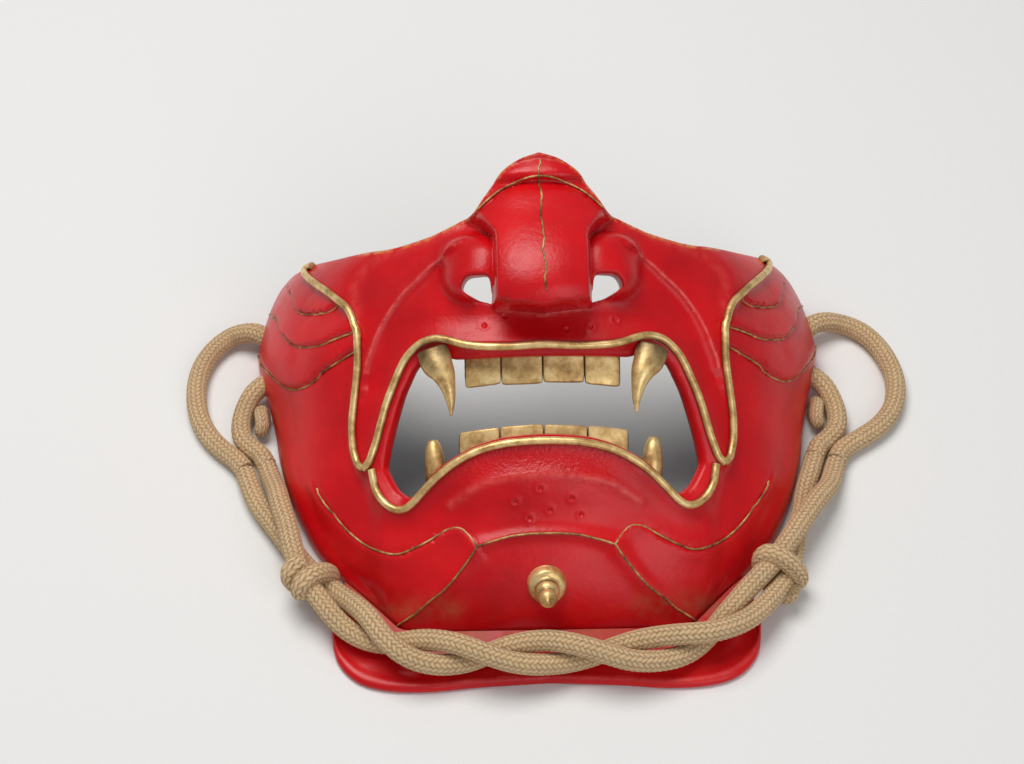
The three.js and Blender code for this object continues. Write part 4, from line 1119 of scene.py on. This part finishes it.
# The tie cord
# A 6 mm cotton cord, braided of 24 yarns, 12 each way, two over and two under. It lies doubled and
# twisted round the jaw, one length from ear to ear, so each strand of the pair is one piece here.
CORD = 6.0
CARRIERS = 12
PLAIT_PITCH = 1.55
YARN_LOW = 0.965
YARN_RISE = 0.065
AROUND = 60
STEP = 0.36
TIP_REACH = 0.2
PAIR_OFFSET = 3.3
END_REACH = 0.35
JAW_ROPE = [
    (0, -90.9, 9.8, 0, 40), (12, -91.2, 9.8, 0.36, 40), (24, -91, 9.8, 0.78, 36),
    (36, -89.4, 9.8, 1.15, 28), (45, -86, 9.8, 1.5, 20), (53.4, -79.6, 9.6, 1.85, 8),
    (60.4, -72, 9.4, 2.1, 0), (66.4, -64.4, 9.2, 2.25, 0), (70.6, -56.4, 8.6, 2.4, 0),
    (74, -48, 7.6, 2.55, 0), (78, -39, 6.6, 2.7, 0), (81.8, -29.6, 4.6, 2.95, 0), (84.6, -21, 3.1, 3, 0),
]


def yarn_height(own, other):
    """Height of a yarn from its place across itself and its place along the plait, where it dives under."""
    on_top = np.sin(np.pi * (((other + np.floor(own)) % 2) / 2))
    return np.sin(np.pi * (own % 1)) ** 0.7 * (0.45 + 0.55 * on_top)


def braid(path, radius=CORD / 2, closed=False):
    """The plaited surface of a cord along a path: its points, its faces and, for each point, the height
    of the yarn there, which way that yarn runs and the place round and along the cord."""
    path = np.asarray(path, float)
    ends = np.vstack([path, path[:1]]) if closed else path
    length = np.concatenate([[0], np.cumsum(np.linalg.norm(np.diff(ends, axis=0), axis=1))])
    count = int(length[-1] / (STEP * radius / 3))
    at = np.linspace(0, length[-1], count, endpoint=not closed)
    line = np.column_stack([np.interp(at, length, ends[:, k]) for k in range(3)])
    for _ in range(6):
        if closed:
            line = (np.roll(line, 1, 0) + 2 * line + np.roll(line, -1, 0)) / 4
        else:
            line[1:-1] = (line[:-2] + 2 * line[1:-1] + line[2:]) / 4
    run = unit(np.roll(line, -1, 0) - np.roll(line, 1, 0) if closed else np.gradient(line, axis=0))
    side = np.cross(run[0], (0, 0, 1.0))
    side /= np.linalg.norm(side)
    sides = []
    for ahead in run:
        side = side - ahead * side.dot(ahead)
        side /= np.linalg.norm(side)
        sides.append(side)
    sides = np.array(sides)
    others = np.cross(run, sides)
    turn = full_turn(AROUND)
    twist = 0
    pitch = PLAIT_PITCH * radius / 3
    if closed:
        slip = math.atan2(others[-1].dot(sides[0]), sides[-1].dot(sides[0]))
        twist = np.linspace(0, slip, count)[:, None]
        pitch = length[-1] / max(1, round(length[-1] / pitch))
    one = turn[None] / (2 * np.pi) * CARRIERS + at[:, None] / pitch
    two = turn[None] / (2 * np.pi) * CARRIERS - at[:, None] / pitch
    over = (np.floor(one) + np.floor(two)) % 4 < 2
    crown = np.where(over, yarn_height(one, two), yarn_height(two, one))
    reach = radius * (YARN_LOW + YARN_RISE * crown)
    angle = turn[None] + twist
    out = sides[:, None] * np.cos(angle)[..., None] + others[:, None] * np.sin(angle)[..., None]
    points = (line[:, None] + out * reach[..., None]).reshape(-1, 3)
    rows = np.arange(count if closed else count - 1)
    i, j = np.meshgrid(rows, np.arange(AROUND), indexing="ij")
    i, j = i.ravel(), j.ravel()
    here, ahead = i * AROUND, (i + 1) % count * AROUND
    j_next = (j + 1) % AROUND
    faces = np.column_stack([here + j, here + j_next, ahead + j_next, ahead + j]).tolist()
    numbers = {
        "crown": crown.ravel(), "yarn": over.ravel().astype(float),
        "around": np.tile(turn * radius, count), "lengthways": np.repeat(at, AROUND),
    }
    if not closed:
        tips = len(points)
        points = np.vstack([points, line[0] - run[0] * TIP_REACH, line[-1] + run[-1] * TIP_REACH])
        end = (count - 1) * AROUND
        faces += [(tips, (k + 1) % AROUND, k) for k in range(AROUND)]
        faces += [(tips + 1, end + k, end + (k + 1) % AROUND) for k in range(AROUND)]
        for key, values in numbers.items():
            numbers[key] = np.append(values, (0, at[-1] if key == "lengthways" else 0))
    return points, faces, numbers


cotton, tree, shader = finish_of(
    "braided_cotton", (0.62, 0.43, 0.24), 0.85, Sheen_Weight=0.06, Sheen_Roughness=0.5)
# Painted shade and highlight: the braid is darkest in the hollows between the yarns and palest on their
# crowns.
depth = ramp(tree, carved(tree, "crown"), [
    (0.0, (0.46, 0.27, 0.10)), (0.4, (0.80, 0.51, 0.25)), (1.0, (1.0, 0.74, 0.43))])
spots = ramp(tree, speckle(tree, 70.0, 3.0), [(0.3, (0.90, 0.90, 0.90)), (0.7, (1.0, 1.0, 1.0))])
tree.links.new(mixed(tree, 1.0, depth, spots, "MULTIPLY"), shader.inputs["Base Color"])
fibre = add_node(
    tree, "ShaderNodeTexWave", {"Scale": 1.1, "Distortion": 1.5, "Detail": 2.0},
    wave_type="BANDS", bands_direction="X")
lay = add_node(tree, "ShaderNodeCombineXYZ")
way = reckon(tree, "SUBTRACT", reckon(tree, "MULTIPLY", carved(tree, "yarn"), 2.0), 1.0)
slant = reckon(tree, "MULTIPLY", carved(tree, "lengthways"), way)
tree.links.new(reckon(tree, "ADD", carved(tree, "around"), slant), lay.inputs["X"])
tree.links.new(lay.outputs["Vector"], fibre.inputs["Vector"])
bumped(tree, shader, fibre.outputs["Fac"], 0.00012)


def cord_piece(name, made, node):
    """A finished length of cord from a braid."""
    points, faces, numbers = made
    piece = made_piece(name, np.asarray(points) / 1000, faces, cotton, node)
    for key, values in numbers.items():
        store(piece, key, values)
    return piece


def beside(points, mirror):
    """Points given beside the right cheek, placed on the left or right of the guard's footprint."""
    return points * np.array((mirror, 1, 1)) + (0, TO_MIDDLE, 0)


def jaw_frame(t):
    """The pair's middle, turn and tilt at parts of its length from the middle, -1 to 1."""
    reach = np.abs(t) * (len(JAW_ROPE) - 1)
    rows = np.column_stack([np.arange(len(JAW_ROPE)), JAW_ROPE])
    value = [along(rows, reach, column) for column in range(1, 6)]
    here = np.column_stack([np.sign(t) * value[0], value[1] + TO_MIDDLE, value[2]])
    return here, np.sign(t) * value[3], np.radians(value[4])


def jaw_sides(t):
    """The pair's middle and turn with its three directions: towards one side, the other, and ahead."""
    here, turn, tilt = jaw_frame(t)
    a, b = jaw_frame(np.maximum(-1, t - 0.004))[0], jaw_frame(np.minimum(1, t + 0.004))[0]
    ahead = unit(b - a)
    inward = unit(np.column_stack([-ahead[:, 1], ahead[:, 0], np.zeros(len(t))]))
    side = inward * np.cos(tilt)[:, None] + np.outer(np.sin(tilt), (0, 0, 1))
    side = unit(side - ahead * (side * ahead).sum(axis=1)[:, None])
    return here, turn, side, np.cross(ahead, side), ahead


def strand(phase):
    """One strand of the pair, drawn out a little at both ends to meet the loops."""
    t = np.linspace(-1, 1, 420)
    here, turn, side, other, _ = jaw_sides(t)
    angle = np.pi * (phase + turn)
    line = here + PAIR_OFFSET * (side * np.cos(angle)[:, None] + other * np.sin(angle)[:, None])
    for end, before in ((0, 1), (-1, -2)):
        ahead = line[end] - line[before]
        line[end] += ahead / np.linalg.norm(ahead) * END_REACH
    return line


rear_nodes = ["jaw_strand_rear", "side_strand_outer_left", "side_strand_outer_right"]
front_nodes = ["jaw_strand_front", "side_strand_inner_left", "side_strand_inner_right"]
cord_piece("cord_strand_rear", braid(strand(0)), rear_nodes)
cord_piece("cord_strand_front", braid(strand(1)), front_nodes)

# The jaw knots
# On each side of the jaw a hitch of the same cord is pulled tight round both strands. It winds once
# and a quarter round them, and its places are parts of the way from the middle to the end.
JAW_KNOT = (0.535, 0.63)
HITCH_TURN = 1.25 * np.pi
HITCH_LONG = 6.4
HITCH_SHORT = 3.9
HITCH_RISE = 2.99
HITCH_RADIUS = 2.9
for name, mirror in (("left", -1), ("right", 1)):
    t = np.array([mirror * sum(JAW_KNOT) / 2])
    here, turn, side, other, ahead = (v[0] for v in jaw_sides(t))
    angle = math.pi * turn
    long = side * math.cos(angle) + other * math.sin(angle)
    short = np.cross(ahead, long)
    bend = np.linspace(-HITCH_TURN, HITCH_TURN, 60)
    path = here + np.outer(np.cos(bend) * HITCH_LONG, long) + np.outer(np.sin(bend) * HITCH_SHORT, short)
    path += np.outer(HITCH_RISE * np.sin(bend / 2.5), ahead)
    path[:, 2] = np.maximum(path[:, 2], CORD / 2)
    cord_piece(f"jaw_hitch_{name}", braid(path, HITCH_RADIUS), f"jaw_knot_{name}")

# The ear loops
# Beyond the jaw the strands part: one runs round a wide loop on the table to the shell below the ear,
# the other round a small loop, and both end in a knot.
EAR_LOOPS = {
    "left": [
        (80.3, 25.4, 7), (83, 27.3, 7), (87.6, 30.2, 6.4), (93.4, 31.2, 4), (98.8, 27.4, 3.1),
        (102.8, 20.2, 3.1), (104.3, 11.4, 3.1), (103.4, 2, 3.1), (100.4, -6, 3.1), (95.8, -12.2, 3.1),
        (91.2, -16.6, 3.1), (88.1, -20.7, 3.1),
    ],
    "right": [
        (80.3, 25.4, 7), (83, 27.3, 7), (88, 30.8, 6.4), (95, 32.2, 3.7), (101.8, 28.6, 3.1),
        (107, 20.2, 3.1), (109.2, 10, 3.1), (107.6, 0, 3.1), (102.8, -7.4, 3.1), (96.4, -12.4, 3.1),
        (90.8, -16.4, 3.1), (88.1, -20.7, 3.1),
    ],
}
INNER_LOOP = [
    (80.7, 11.1, 7), (83, 9.2, 7), (86.4, 5.9, 6.4), (88.9, 1.2, 4.6), (89.9, -4, 3.4), (89, -9, 3.1),
    (86, -13, 3.1), (83, -16, 3.1), (81.7, -19.1, 3.1),
]
END_KNOT = (83.6, -3.2, 4.3)
END_KNOT_RADIUS = 2.1
TIE_KNOT = (76.6, 18.4, 7)
TIE_KNOT_RADIUS = 2.3
turn = full_turn(60)
end_ring = np.column_stack([0.3 * np.sin(2 * turn), 3.3 * np.cos(turn), 1.9 * np.sin(turn)])
trefoil = np.column_stack([
    0.8 * (np.sin(turn) + 2 * np.sin(2 * turn)),
    0.8 * (np.cos(turn) - 2 * np.cos(2 * turn)),
    -1.5 * np.sin(3 * turn),
])
for name, mirror in (("left", -1), ("right", 1)):
    for knot, ring, seat, radius in (
        ("end", end_ring, END_KNOT, END_KNOT_RADIUS), ("tie", trefoil, TIE_KNOT, TIE_KNOT_RADIUS),
    ):
        made = braid(beside(ring + seat, mirror), radius, closed=True)
        cord_piece(f"{knot}_hitch_{name}", made, f"{knot}_knot_{name}")
    for kind, route, knot in (("ear_loop", EAR_LOOPS[name], "tie"), ("inner_loop", INNER_LOOP, "end")):
        path = rounded_line(beside(np.array(route, float), mirror), 4.0)
        fine_path = rounded_line(path, 0.5)
        piece = cord_piece(f"{kind}_cord_{name}", braid(fine_path), f"{kind}_{name}")
